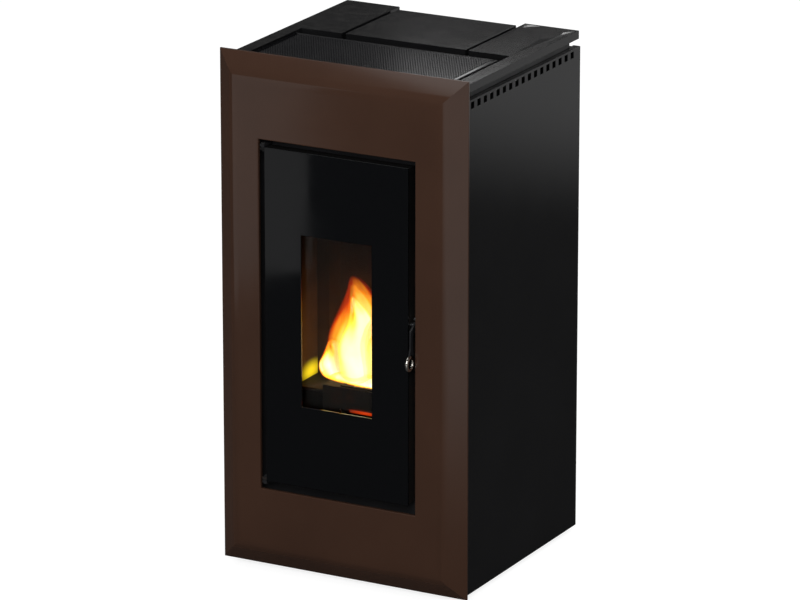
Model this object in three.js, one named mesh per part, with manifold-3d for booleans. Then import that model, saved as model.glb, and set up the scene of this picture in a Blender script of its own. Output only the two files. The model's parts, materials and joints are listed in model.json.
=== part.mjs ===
// Free-standing pellet stove: a sheet-steel body with a bevelled front surround, a glazed fire door,
// a hopper lid, and the feed, burn, smoke and room-air parts that it holds.
// Millimetres, +Z up, front towards -Y. Inside this file y = 0 is the front edge of the surround's
// border and z = 0 is the floor; the last lines centre the stove over the origin.

import * as THREE from 'three';
import { mergeVertices } from 'three/addons/utils/BufferGeometryUtils.js';
import Module from 'manifold-3d';

const wasm = await Module();
wasm.setup();

// ---------------------------------------------------------------------------------------------
// Driving dimensions
// ---------------------------------------------------------------------------------------------

const GAP = 0.3;                        // between pieces that seat on, or turn in, each other
const SIDES = 24;                       // facets of a round piece
const SMALL_SIDES = 12;                 // facets of a pin, shaft or other slim round piece
const SLIM_RADIUS = 12.5;               // below this radius a round piece counts as slim
const PAST = 1;                         // how far a cutting tool runs past the face it cuts

// Body
const BODY_WIDTH = 478;
const BODY_REAR = 456;
const PANEL_HEIGHT = 918.5;
const SHEET = 1.5;
const FLANGE = 14;
const FOOT_HEIGHT = 10;
const FOOT_RADIUS = 18;
const FOOT_STUD_RADIUS = 4;
const FOOT_STUD_HEIGHT = 14;
const FOOT_INSET = 44;
const BASE_THICKNESS = 3;
const STAND_THICKNESS = 6;

// Side air slots, just under the panels' top edge
const SLOT_SIZE = 12.5;
const SLOT_PITCH = 24.2;
const SLOT_DROP = 4;
const SLOT_MARGIN = 25.5;

// Louvres for room air in the rear panel
const LOUVRE_ROWS = 4;
const LOUVRE_COLUMNS = 6;
const LOUVRE_WIDTH = 34;
const LOUVRE_HEIGHT = 5;
const LOUVRE_COLUMN_PITCH = 46;
const LOUVRE_ROW_PITCH = 16;

// Front surround
const SURROUND_OVERHANG = 11;
const SURROUND_EDGE = 4;
const SURROUND_PROUD = 26.4;
const SURROUND_WALL = 7;
const SURROUND_LIP = 11.3;
const BEVEL_WIDTH = 37;
const BEVEL_SOFTENING = 5;
const BEVEL_SOFT_SHARE = 0.3;
const RIM_WIDTH = 20;
const OPENING_SIDE_MARGIN = 91.5;
const OPENING_BOTTOM_MARGIN = 153;
const OPENING_TOP_MARGIN = 150.7;

// Top
const NECK_HEIGHT = 15.1;
const NECK_INSET = 11;
const NECK_REAR_INSET = 22;
const NECK_WALL = 2;
const COVER_HEIGHT = 15.1;
const COVER_REAR_INSET = 6;
const COVER_SKIN = 3;
const COVER_WALL = 2;
const RAIL_WIDTH = 27;
const GRILLE_SIDE_GAP = 7;
const GRILLE_DEPTH = 186.5;
const GRILLE_FRONT_GAP = 4.2;
const GRILLE_SKIN = 2;
const GRILLE_BORDER = 10;
const GRILLE_SLOT_LENGTH = 34;
const GRILLE_SLOT_WIDTH = 9;
const GRILLE_ROW_PITCH = 21;
const GRILLE_COLUMN_PITCH = 44;
const AIR_SLOT_DEPTH = 34;
const LID_WIDTH = 243;
const LID_DEPTH = 199;
const LID_SIDE_GAP = 8;
const LID_FRONT_GAP = 2;
const LID_SKIN = 2;
const LID_SKIRT_RISE = 0.7;
const LID_PIN_RADIUS = 2.5;
const LID_PIN_DROP = 8.7;
const LID_PIN_INSET = 6;
const LID_PIN_TAIL = 3;
const GASKET_WIDTH = 6;
const PLUG_RADIUS = 44.6;
const PLUG_THICKNESS = 1.4;
const PLUG_LEDGE = 5;
const PLUG_SIDE_INSET = 59;
const PLUG_REAR_INSET = 49;

// Front frame, hinge and door
const FRAME_SHEET = 2;
const DOOR_SIDE_GAP = 13.5;
const DOOR_BOTTOM_GAP = 16.7;
const DOOR_TOP_GAP = 13;
const GLASS_PROUD = 1.2;
const GLASS_THICKNESS = 4;
const WINDOW_SIDE_MARGIN = 73.4;
const WINDOW_BOTTOM_MARGIN = 152.7;
const WINDOW_TOP_MARGIN = 153;
const DOOR_FRAME_INSET = 2;
const DOOR_FRAME_PLATE = 3;
const DOOR_FRAME_DEPTH = 23.3;
const DOOR_FRAME_BAR = 20;
const SEAL_GROOVE_WALL = 3;
const SEAL_GROOVE_DEPTH = 6;
const WINDOW_REBATE = 4.5;
const PANE_OVERLAP = 14;
const HINGE_OFFSET = 5;
const HINGE_SETBACK = 5.6;
const HINGE_PIN_RADIUS = 2.5;
const HINGE_LUG = 4;
const HINGE_LUG_RADIUS = 4.5;
const HINGE_LUG_REACH = 8;
const DOORWAY_CLEARANCE = 1.3;
const SEAL_CORNER = 3.5;
const PIN_HEAD_RIM = 2;
const PIN_HEAD_HEIGHT = 2;
const PIN_TAIL = 3;

// Door lever
const LEVER_CLEARANCE = 5.3;
const LEVER_THICKNESS = 3.5;
const LEVER_PIVOT_SETBACK = 12;
const LEVER_PIVOT_RISE = 335.3;
const LEVER_PIN_RADIUS = 3;
const LEVER_PIN_SEAT = 11.5;
const LEVER_BOSS_RADIUS = 6.5;
const LEVER_BAR_WIDTH = 8;
const LEVER_BEND_DROP = 16;
const LEVER_FLARE_RISE = 28;
const RING_RADIUS = 11.5;
const RING_HALF_WIDTH = 4;
const RING_HALF_THICKNESS = 3;
const RING_FORWARD = 21.5;
const RING_DROP = 65.5;
const HOOK_REACH = 10.5;
const HOOK_RISE = 6.4;
const HOOK_ROOT_DEPTH = 5;
const HOOK_FINGER = 4;
const CATCH_LIP = 3;
const CATCH_WIDTH = 10;
const CATCH_SIDE_REACH = 3;
const CATCH_LIP_SETBACK = 5.5;
const CATCH_BASE_THICKNESS = 2;
const CATCH_BASE_DROP = 8;
const CATCH_BASE_RISE = 12;

// Firebox and what stands in it
const FIREBOX_WALL = 3;
const FIREBOX_SIDE_MARGIN = 18.5;
const FIREBOX_FLOOR_RISE = 36;
const FIREBOX_TOP_DROP = 24;
const FIREBOX_DEPTH = 165;
const FIREBOX_FLANGE = 16;
const FIREBOX_MOUTH_INSET = 16;
const FIREBOX_MOUTH_DROP = 10;
const LEDGE_WIDTH = 12;
const LEDGE_HEIGHT = 6;
const LEDGE_END_GAP = 2;
const SHELF_RISE = 132.3;
const SHELF_THICKNESS = 5.7;
const SHELF_FRONT = 58;
const POT_BLOCK_WIDTH = 152;
const POT_BLOCK_HEIGHT = 10;
const POT_BLOCK_DEPTH = 72;
const APRON_THICKNESS = 6;
const APRON_DROP = 68;
const APRON_SLOT_WIDTH = 80;
const APRON_SLOT_HEIGHT = 11;
const APRON_SLOT_DROP = 24;
const POT_WIDTH = 73;
const POT_DEPTH = 61;
const POT_HEIGHT = 54;
const POT_TAPER = 8;
const POT_WALL = 2.5;
const POT_RIM = 4.5;
const POT_RIM_HEIGHT = 2.7;
const POT_SETBACK = 8;
const POT_HOLE_RADIUS = 2;
const POT_HOLE_PITCH = { x: 9, y: 11 };
const LINER_THICKNESS = 5.7;
const LINER_HEIGHT = 300;
const PILASTER_WIDTH = 25;
const PILASTER_DEPTH = 27;
const PILASTER_SPLAY = 8.6;
const BACK_LINER_THICKNESS = 8;
const BAFFLE_THICKNESS = 6;
const BAFFLE_FRONT_GAP = 30;
const DRAWER_WIDTH = 220;
const DRAWER_HEIGHT = 62;
const DRAWER_DEPTH = 140;
const DRAWER_SETBACK = 5;
const DRAWER_WALL = 1.5;
const DRAWER_PULL_WIDTH = 70;
const DRAWER_PULL_HEIGHT = 10.3;
const DRAWER_PULL_DROP = 10.3;

// Feed: hopper, auger and chute
const HOPPER_SHEET = 1.5;
const HOPPER_MOUTH_SIDE_INSET = 7.5;
const HOPPER_MOUTH_FRONT_INSET = 12;
const HOPPER_MOUTH_REAR_INSET = 25;
const HOPPER_COLLAR_TOP_DROP = 8.7;
const HOPPER_FLANGE = 8;
const HOPPER_LEDGE = 4;
const HOPPER_LEDGE_DROP = 5;
const HOPPER_SHOULDER = 35;
const HOPPER_SIDE_MARGIN = 74;
const HOPPER_DUCT_GAP = 4;
const HOPPER_REAR_MARGIN = 16;
const HOPPER_TAPER = 140;
const FEED_WIDTH = 46;
const FEED_DEPTH = 50;
const FEED_WALL = 2;
const AUGER_SLOPE = Math.PI / 4;
const AUGER_LENGTH = 185;
const AUGER_LOW_Y = 338;
const AUGER_LOW_Z = 440;
const AUGER_BORE = 24;
const AUGER_TUBE_WALL = 2;
const AUGER_SCREW_RADIUS = 21;
const AUGER_SHAFT_RADIUS = 7;
const AUGER_PITCH = 30;
const AUGER_STEPS_PER_TURN = 10;
const BUSH_WALL = 5;
const BUSH_COLLAR = 3;
const FLIGHT_HALF_ANGLE = 0.16;
const FLIGHT_END_GAP = 4;
const HOPPER_OUTLET_RISE = 120;
const FEED_INLET_FORWARD = 43;
const OUTLET_CLEAR_OF_TUBE = 97;
const OUTLET_RISE = 60;
const OUTLET_DEPTH = 40;
const CHUTE_DROP = 80;
const CHUTE_MOUTH_HEIGHT = 50;
const GEARBOX_SIZE = 64;
const GEARBOX_LENGTH = 34;
const GEARMOTOR_RADIUS = 27;
const GEARMOTOR_LENGTH = 50;
const GEARBOX_SOCKET = 20;
const IGNITER_RADIUS = 5;
const IGNITER_LENGTH = 105;
const IGNITER_DROP = 18;
const IGNITER_POT_GAP = 4;
const IGNITER_COLLAR = { rim: 4, length: 8 };
const GRID_BAR = 3;
const GRID_BARS = 7;

// Smoke side
const SMOKE_DUCT_WIDTH = 60;
const SMOKE_DUCT_DEPTH = 29.7;
const SMOKE_DUCT_INSET = 10;
const SMOKE_DUCT_FOOT = 16;
const SMOKE_PORT_HEIGHT = 55;
const SMOKE_PORT_DROP = 10;
const SMOKE_PORT_MARGIN = 5;
const EXHAUST_DRUM_RADIUS = 75;
const EXHAUST_DRUM_DEPTH = 56;
const EXHAUST_CENTRE_RISE = 56;
const EXHAUST_INLET_RADIUS = 26;
const EXHAUST_IMPELLER_RADIUS = 58;
const EXHAUST_SHAFT_RADIUS = 4;
const EXHAUST_BLADES = 8;
const EXHAUST_MOTOR_RADIUS = 35;
const EXHAUST_MOTOR_LENGTH = 65;
const EXHAUST_MOTOR_SOCKET = 28;
const EXHAUST_SHAFT_CLEARANCE = 2;
const EXHAUST_WHEEL_START = 6;
const EXHAUST_WHEEL_DEPTH = 34;
const EXHAUST_WHEEL_PLATE = 2;
const EXHAUST_HUB_RADIUS = 12;
const EXHAUST_HUB_SETBACK = 6;
const EXHAUST_SHAFT_SEAT = 24;
const FLUE_RADIUS = 40;
const FLUE_WALL = 1.5;
const FLUE_FLANGE = 6;
const FLUE_OFFSET = 125;
const FLUE_DROP = 33;
const FLUE_STUB = 35;
const OUTLET_BOX_HEIGHT = 100;
const OUTLET_BOX_MARGIN = 4;
const INTAKE_RADIUS = 25;
const INTAKE_WALL = 1.5;
const INTAKE_FLANGE = 6;
const INTAKE_FAN_GAP = 5;
const INTAKE_RISE = 41;
const INTAKE_STUB = 30;

// Room air side
const ROOM_FAN_WIDTH = 280;
const ROOM_FAN_DEPTH = 110;
const ROOM_FAN_HEIGHT = 126;
const ROOM_FAN_REAR_GAP = 56;
const ROOM_FAN_WALL = 2;
const ROOM_ROTOR_RADIUS = 46;
const ROOM_ROTOR_BLADES = 12;
const ROOM_SHAFT_RADIUS = 5;
const ROOM_MOTOR_RADIUS = 34;
const ROOM_MOTOR_LENGTH = 55;
const ROOM_MOTOR_SOCKET = 26;
const ROOM_MOUTH_MARGIN = 10;
const ROOM_ROTOR_END_GAP = 12;
const ROOM_ROTOR_DISC = 2;
const ROOM_BLADE_DEPTH = 10;
const ROOM_SHAFT_TAIL = 13;
const ROOM_SHAFT_SEAT = 35;
const HOOD_WALL = 1.5;
const HOOD_DEPTH = 158;
const HOOD_MOUTH_WIDTH = 384;
const HOOD_INLET_MARGIN = 20;
const HOOD_INLET_LIFT = 8;
const HOOD_INLET_HEIGHT = 52;

// Electrics on the rear panel
const INLET_WIDTH = 30;
const INLET_HEIGHT = 58;
const INLET_DEPTH = 30;
const INLET_FLANGE = 4;
const INLET_FLANGE_THICKNESS = 2.5;
const INLET_X = -190;
const INLET_Z = 60;
const SOCKET_HALF_WIDTH = 12;
const SOCKET_HEIGHT = 18;
const SOCKET_LIFT = 6;
const SOCKET_DEPTH = 17;
const PIN_PITCH = 7;
const PIN_WIDTH = 2;
const PIN_HEIGHT = 4;
const PIN_LIFT = 12;
const EARTH_PIN_LIFT = 3;
const PIN_SETBACK = 4;
const ROCKER_DROP = 5;
const ROCKER_WIDTH = 14;
const ROCKER_HEIGHT = 20;
const ROCKER_DEPTH = 7;
const ROCKER_TILT = Math.PI / 22;
const ROCKER_PROUD = 1;
const ROCKER_DISH = 1.8;
const ROCKER_WELL_SPACE = 5;
const THERMOSTAT_X = 190;
const THERMOSTAT_Z = 75;
const THERMOSTAT_RADIUS = 12;
const THERMOSTAT_LENGTH = 22;
const BUTTON_RADIUS = 4;
const BUTTON_LENGTH = 16;
const BUTTON_PROUD = 6;
const BUTTON_TRAVEL_SPACE = 4;
const BOARD_HEIGHT = 150;
const BOARD_DEPTH = 200;
const BOARD_THICKNESS = 2;
const BOARD_STANDOFF = 8;
const BOARD_REAR_GAP = 60;
const BOARD_HOLE_INSET = 12;
const BOARD_RELAY = { dy: 80, dz: 25, size: [16, 20, 28], pitch: 26, count: 3 };
const BOARD_TRANSFORMER = { dy: 20, dz: 20, size: [30, 45, 40] };
const BOARD_HEAT_SINK = { dy: 85, dz: 85, size: [24, 60, 40] };

// ---------------------------------------------------------------------------------------------
// Places that follow from the driving dimensions
// ---------------------------------------------------------------------------------------------

const halfBody = BODY_WIDTH / 2;
const bodyFront = SURROUND_EDGE + GAP;
const panelInner = halfBody - SHEET;
const panelTop = FOOT_HEIGHT + PANEL_HEIGHT;
const baseTop = FOOT_HEIGHT + BASE_THICKNESS;
const insideX = panelInner - GAP;
const rearPanelRear = BODY_REAR - SHEET - GAP;
const rearPanelFront = rearPanelRear - SHEET;

const deckBottom = panelTop + GAP;
const deckTop = deckBottom + NECK_WALL;
const coverBottom = panelTop + NECK_HEIGHT;
const coverTop = coverBottom + COVER_HEIGHT;
const coverRear = BODY_REAR - COVER_REAR_INSET;
const neckX = halfBody - NECK_INSET;
const neckRear = BODY_REAR - NECK_REAR_INSET;
const railInner = halfBody - RAIL_WIDTH;

const surroundHalf = halfBody + SURROUND_OVERHANG;
const surroundBottom = FOOT_HEIGHT;
const surroundTop = coverTop + SURROUND_LIP;
const openingHalf = surroundHalf - OPENING_SIDE_MARGIN;
const openingBottom = surroundBottom + OPENING_BOTTOM_MARGIN;
const openingTop = surroundTop - OPENING_TOP_MARGIN;

const frameFront = bodyFront + SHEET + GAP;
const frameRear = frameFront + FRAME_SHEET;

const grilleX = railInner - GRILLE_SIDE_GAP;
const grilleFront = bodyFront + GRILLE_FRONT_GAP;
const grilleRear = grilleFront + GRILLE_DEPTH;
const blockFront = grilleRear + AIR_SLOT_DEPTH;
const lidX = LID_WIDTH / 2;
const lidFront = blockFront + LID_FRONT_GAP;
const lidRear = lidFront + LID_DEPTH;
const lidSkirtBottom = coverBottom + LID_SKIRT_RISE;
const blockInner = lidX + LID_SIDE_GAP;
const lidPinY = lidRear - LID_PIN_INSET;
const lidPinZ = coverTop - LID_PIN_DROP;
const plugX = halfBody - PLUG_SIDE_INSET;
const plugY = coverRear - PLUG_REAR_INSET;

const glassHalf = openingHalf - DOOR_SIDE_GAP;
const glassBottom = openingBottom + DOOR_BOTTOM_GAP;
const glassTop = openingTop - DOOR_TOP_GAP;
const glassFront = -(SURROUND_PROUD + GLASS_PROUD);
const glassRear = glassFront + GLASS_THICKNESS;
const windowHalf = glassHalf - WINDOW_SIDE_MARGIN;
const windowBottom = glassBottom + WINDOW_BOTTOM_MARGIN;
const windowTop = glassTop - WINDOW_TOP_MARGIN;
const doorFrameHalf = glassHalf - DOOR_FRAME_INSET;
const doorFrameBottom = glassBottom + DOOR_FRAME_INSET;
const doorFrameTop = glassTop - DOOR_FRAME_INSET;
const doorFrameFront = glassRear + GAP;
const doorFrameRear = doorFrameFront + DOOR_FRAME_DEPTH;
const grooveFloor = doorFrameRear - SEAL_GROOVE_DEPTH;
const hingeX = -(glassHalf + HINGE_OFFSET);
const hingeY = glassFront + HINGE_SETBACK;

const fireboxHalf = openingHalf - FIREBOX_SIDE_MARGIN;
const fireboxBottom = openingBottom + FIREBOX_FLOOR_RISE;
const fireboxTop = openingTop - FIREBOX_TOP_DROP;
const flangeFront = frameRear + GAP;
const fireboxFront = flangeFront + FIREBOX_WALL;
const fireboxRear = fireboxFront + FIREBOX_DEPTH;
const fireboxInner = fireboxHalf - FIREBOX_WALL;
const fireboxFloor = fireboxBottom + FIREBOX_WALL;
const fireboxInnerRear = fireboxRear - FIREBOX_WALL;
const shelfBottom = fireboxFloor + SHELF_RISE;
const shelfTop = shelfBottom + SHELF_THICKNESS;
const potBlockTop = shelfTop + POT_BLOCK_HEIGHT;
const potFront = SHELF_FRONT + POT_SETBACK + GAP;
const potMiddleY = potFront + POT_DEPTH / 2;
const linerBottom = shelfTop + GAP;
const linerTop = linerBottom + LINER_HEIGHT;

const hopperOutletZ = AUGER_LOW_Z + HOPPER_OUTLET_RISE;
const feedInletY = AUGER_LOW_Y - FEED_INLET_FORWARD;
const outletForward = OUTLET_CLEAR_OF_TUBE + AUGER_BORE + AUGER_TUBE_WALL;
const feedOutletY = AUGER_LOW_Y - outletForward;
const feedOutletZ = AUGER_LOW_Z + OUTLET_RISE;
const chuteMouthZ = feedOutletZ - CHUTE_DROP;

const backOfFirebox = fireboxRear + GAP;
const smokeDuctX = fireboxHalf - SMOKE_DUCT_INSET - SMOKE_DUCT_WIDTH / 2;
const smokeDuctRear = backOfFirebox + SMOKE_DUCT_DEPTH;
const exhaustZ = fireboxBottom + EXHAUST_CENTRE_RISE;
const exhaustFront = smokeDuctRear + GAP;
const exhaustRear = exhaustFront + EXHAUST_DRUM_DEPTH;
const flueX = smokeDuctX - FLUE_OFFSET;
const flueZ = exhaustZ - FLUE_DROP;
const flueRear = BODY_REAR + FLUE_STUB;
const outletBoxLeft = flueX - FLUE_RADIUS - FLUE_FLANGE - OUTLET_BOX_MARGIN;
const intakeX = outletBoxLeft - INTAKE_FAN_GAP - INTAKE_RADIUS;
const intakeZ = fireboxBottom + INTAKE_RISE;

const roomFanRear = rearPanelFront - ROOM_FAN_REAR_GAP;
const roomFanFront = roomFanRear - ROOM_FAN_DEPTH;
const roomFanY = (roomFanFront + roomFanRear) / 2;
const roomFanBottom = baseTop + GAP;
const roomFanTop = roomFanBottom + ROOM_FAN_HEIGHT;
const roomFanZ = (roomFanBottom + roomFanTop) / 2;

const leverX = glassHalf + LEVER_CLEARANCE;
const leverPivotY = -LEVER_PIVOT_SETBACK;
const leverPivotZ = glassBottom + LEVER_PIVOT_RISE;
const ringY = leverPivotY - RING_FORWARD;
const ringZ = leverPivotZ - RING_DROP;

// ---------------------------------------------------------------------------------------------
// Finishes
// ---------------------------------------------------------------------------------------------

const FINISH = {
  brownEnamel: { color: 0x47322c, roughness: 0.18, metalness: 0.0 },
  blackPaint: { color: 0x1e1e20, roughness: 0.55, metalness: 0.1 },
  blackSatin: { color: 0x2a2a2d, roughness: 0.42, metalness: 0.2 },
  blackGlass: { color: 0x101114, roughness: 0.05, metalness: 0.0 },
  clearGlass: { color: 0x8a8f92, roughness: 0.05, metalness: 0.0 },
  castIron: { color: 0x2c2724, roughness: 0.8, metalness: 0.5 },
  steel: { color: 0x9a9c9e, roughness: 0.4, metalness: 0.9 },
  polishedSteel: { color: 0xd8d4cc, roughness: 0.1, metalness: 1.0 },
  vermiculite: { color: 0x6a5a48, roughness: 0.95, metalness: 0.0 },
  rope: { color: 0x55524d, roughness: 1.0, metalness: 0.0 },
  rubber: { color: 0x161616, roughness: 0.9, metalness: 0.0 },
  plastic: { color: 0x1b1b1d, roughness: 0.5, metalness: 0.0 },
  redPlastic: { color: 0x8c1a14, roughness: 0.4, metalness: 0.0 },
  circuit: { color: 0x1f5a35, roughness: 0.6, metalness: 0.0 },
};

// ---------------------------------------------------------------------------------------------
// Geometry helpers
// ---------------------------------------------------------------------------------------------

/** A closed three.js geometry as a solid that can be joined and cut. */
function toSolid(geometry) {
  const bare = geometry.clone();
  bare.deleteAttribute('normal');
  bare.deleteAttribute('uv');
  const merged = mergeVertices(bare, 1e-4);
  const vertProperties = new Float32Array(merged.attributes.position.array);
  const triVerts = new Uint32Array(merged.index.array);
  return new wasm.Manifold(new wasm.Mesh({ numProp: 3, vertProperties, triVerts }));
}

/** A solid back as a three.js geometry. */
function toGeometry(solid) {
  const mesh = solid.getMesh();
  const geometry = new THREE.BufferGeometry();
  geometry.setAttribute('position', new THREE.BufferAttribute(new Float32Array(mesh.vertProperties), 3));
  geometry.setIndex(new THREE.BufferAttribute(new Uint32Array(mesh.triVerts), 1));
  return geometry;
}

/** All the geometries joined into one. */
function join(...geometries) {
  const solids = geometries.map(toSolid);
  return toGeometry(solids.reduce((whole, solid) => whole.add(solid)));
}

/** The first geometry with all the others cut from it. */
function cut(geometry, ...tools) {
  const solids = tools.map(toSolid);
  return toGeometry(solids.reduce((rest, solid) => rest.subtract(solid), toSolid(geometry)));
}

/** A box between two values on each axis, given in either order. */
function box(xs, ys, zs) {
  const spans = [xs, ys, zs].map(([a, b]) => Math.abs(b - a));
  const middles = [xs, ys, zs].map(([a, b]) => (a + b) / 2);
  return new THREE.BoxGeometry(...spans).translate(...middles);
}

/** A box that reaches equally far to the left and right of the middle plane. */
function centredBox(halfWidth, ys, zs) {
  return box([-halfWidth, halfWidth], ys, zs);
}

/** A geometry built along +Z turned to run along one axis, then moved. */
function along(geometry, axis, place) {
  if (axis === 'x') geometry.rotateY(Math.PI / 2);
  if (axis === 'y') geometry.rotateX(-Math.PI / 2);
  return geometry.translate(...place);
}

/** How many facets a round piece of this radius has. */
function facets(radius) {
  return radius < SLIM_RADIUS ? SMALL_SIDES : SIDES;
}

/** A round rod from one value to another on an axis; `at` gives the other two coordinates. */
function rod(axis, radius, [from, to], at, sides = facets(radius)) {
  const length = Math.abs(to - from);
  const geometry = new THREE.CylinderGeometry(radius, radius, length, sides).rotateX(Math.PI / 2);
  const middle = (from + to) / 2;
  const places = { x: [middle, at[0], at[1]], y: [at[0], middle, at[1]], z: [at[0], at[1], middle] };
  return along(geometry, axis, places[axis]);
}

/** A turned piece from a closed [radius, height] profile, its axis along an axis of the stove. */
function turned(axis, profile, place, sides = SIDES) {
  const points = profile.map(([radius, height]) => new THREE.Vector2(radius, height));
  const geometry = new THREE.LatheGeometry(points, sides).rotateX(Math.PI / 2);
  return along(geometry, axis, place);
}

/** A tube with a flange at its start, along Y. */
function flangedTube(radius, wall, flange, thickness, [from, to], [x, z]) {
  const start = rod('y', radius + flange, [from, from + thickness], [x, z]);
  const outside = rod('y', radius, [from, to], [x, z]);
  const bore = rod('y', radius - wall, [from - 1, to + 1], [x, z]);
  return cut(join(start, outside), bore);
}

/** A plate whose outline lies in the YZ plane, thick along X. */
function platesOnX(outline, [from, to]) {
  const geometry = new THREE.ExtrudeGeometry(outline, { depth: to - from, bevelEnabled: false });
  const turn = new THREE.Matrix4().makeBasis(
    new THREE.Vector3(0, 1, 0),
    new THREE.Vector3(0, 0, 1),
    new THREE.Vector3(1, 0, 0),
  );
  return geometry.applyMatrix4(turn).translate(from, 0, 0);
}

/** An outline in plan, raised along Z. */
function raised(points, [from, to]) {
  const outline = new THREE.Shape(points.map(([x, y]) => new THREE.Vector2(x, y)));
  const geometry = new THREE.ExtrudeGeometry(outline, { depth: to - from, bevelEnabled: false });
  return geometry.translate(0, 0, from);
}

/** Six times the volume enclosed by a triangle list. */
function signedVolume(points, triangles) {
  const corner = (i) => new THREE.Vector3(...points[i]);
  return triangles.reduce((sum, [a, b, c]) => sum + corner(a).dot(corner(b).cross(corner(c))), 0);
}

/** Skin over a row of rings with equally many corners: closed on itself, or with flat ends. */
function loft(rings, closed) {
  const count = rings[0].length;
  const points = rings.flat();
  const triangles = [];
  const spans = closed ? rings.length : rings.length - 1;
  for (let i = 0; i < spans; i += 1) {
    const next = (i + 1) % rings.length;
    for (let j = 0; j < count; j += 1) {
      const k = (j + 1) % count;
      triangles.push([i * count + j, i * count + k, next * count + k]);
      triangles.push([i * count + j, next * count + k, next * count + j]);
    }
  }
  if (!closed) {
    const last = (rings.length - 1) * count;
    for (let j = 1; j < count - 1; j += 1) {
      triangles.push([0, j + 1, j]);
      triangles.push([last, last + j, last + j + 1]);
    }
  }
  const outward = signedVolume(points, triangles) > 0;
  const geometry = new THREE.BufferGeometry();
  geometry.setAttribute('position', new THREE.Float32BufferAttribute(points.flat(), 3));
  geometry.setIndex(triangles.flatMap(([a, b, c]) => (outward ? [a, b, c] : [a, c, b])));
  return geometry;
}

/** A ring of four corners in the plane z. */
function flatRing([x0, x1], [y0, y1], z) {
  return [[x0, y0, z], [x1, y0, z], [x1, y1, z], [x0, y1, z]];
}

/** A ring of four corners in the upright plane y, equally far left and right. */
function uprightRing(half, [z0, z1], y) {
  return [[-half, y, z0], [half, y, z0], [half, y, z1], [-half, y, z1]];
}

/** Copies of a geometry turned evenly about the Z axis. */
function spokes(geometry, count) {
  const turns = Array.from({ length: count }, (_, i) => (i * 2 * Math.PI) / count);
  return turns.map((turn) => geometry.clone().rotateZ(turn));
}

// ---------------------------------------------------------------------------------------------
// The stove
// ---------------------------------------------------------------------------------------------

const stove = new THREE.Group();

/** Adds one piece of the stove under its own name. */
function piece(name, geometry, finish) {
  geometry.computeVertexNormals();
  const mesh = new THREE.Mesh(geometry, new THREE.MeshStandardMaterial(finish));
  mesh.name = name;
  stove.add(mesh);
}

// ---- Base, feet and body panels --------------------------------------------------------------

const footYs = { front: bodyFront + FOOT_INSET, rear: BODY_REAR - FOOT_INSET };
const footXs = { left: -(halfBody - FOOT_INSET), right: halfBody - FOOT_INSET };
const footPlaces = Object.entries(footYs).flatMap(([row, y]) => (
  Object.entries(footXs).map(([side, x]) => ({ name: `foot_${row}_${side}`, x, y }))
));

function foot({ x, y }) {
  const studTop = FOOT_HEIGHT + FOOT_STUD_HEIGHT;
  const profile = [
    [0, 0],
    [FOOT_RADIUS, 0],
    [FOOT_RADIUS, FOOT_HEIGHT - GAP],
    [FOOT_STUD_RADIUS, FOOT_HEIGHT - GAP],
    [FOOT_STUD_RADIUS, studTop],
    [0, studTop],
  ];
  return turned('z', profile, [x, y, 0]);
}

function basePlate() {
  const plate = centredBox(insideX, [frameFront, rearPanelFront - GAP], [FOOT_HEIGHT, baseTop]);
  const standX = fireboxInner - STAND_THICKNESS;
  const stands = [-1, 1].map((side) => box(
    [side * standX, side * (standX - STAND_THICKNESS)],
    [fireboxFront + STAND_THICKNESS, fireboxInnerRear],
    [FOOT_HEIGHT + BASE_THICKNESS / 2, fireboxBottom - GAP],
  ));
  const studHoles = footPlaces.map(({ x, y }) => (
    rod('z', FOOT_STUD_RADIUS + GAP, [FOOT_HEIGHT - 1, baseTop + 1], [x, y])
  ));
  return cut(join(plate, ...stands), ...studHoles);
}

function slotPlaces() {
  const room = BODY_REAR - bodyFront - 2 * SLOT_MARGIN - SLOT_SIZE;
  const count = Math.floor(room / SLOT_PITCH + 1e-6) + 1;
  return Array.from({ length: count }, (_, i) => bodyFront + SLOT_MARGIN + i * SLOT_PITCH);
}

function sidePanel(side) {
  const outer = side * halfBody;
  const fold = side * (halfBody - FLANGE);
  const heights = [FOOT_HEIGHT, panelTop];
  const wall = box([outer, side * panelInner], [bodyFront, BODY_REAR], heights);
  const topFold = box([outer, fold], [bodyFront, BODY_REAR], [panelTop - SHEET, panelTop]);
  const frontFold = box([outer, fold], [bodyFront, bodyFront + SHEET], heights);
  const rearFold = box([outer, fold], [BODY_REAR - SHEET, BODY_REAR], heights);
  const slotTop = panelTop - SLOT_DROP;
  const slots = slotPlaces().map((y) => (
    box([outer + side, side * (panelInner - 1)], [y, y + SLOT_SIZE], [slotTop - SLOT_SIZE, slotTop])
  ));
  return cut(join(wall, topFold, frontFold, rearFold), ...slots);
}

/** Louvres for room air, in rows across the lower middle of the rear panel. */
function louvreCuts() {
  const cuts = [];
  for (let row = 0; row < LOUVRE_ROWS; row += 1) {
    for (let column = 0; column < LOUVRE_COLUMNS; column += 1) {
      const x = (column - (LOUVRE_COLUMNS - 1) / 2) * LOUVRE_COLUMN_PITCH;
      const z = roomFanZ + (row - (LOUVRE_ROWS - 1) / 2) * LOUVRE_ROW_PITCH;
      cuts.push(box(
        [x - LOUVRE_WIDTH / 2, x + LOUVRE_WIDTH / 2],
        [rearPanelFront - PAST, rearPanelRear + PAST],
        [z - LOUVRE_HEIGHT / 2, z + LOUVRE_HEIGHT / 2],
      ));
    }
  }
  return cuts;
}

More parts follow.
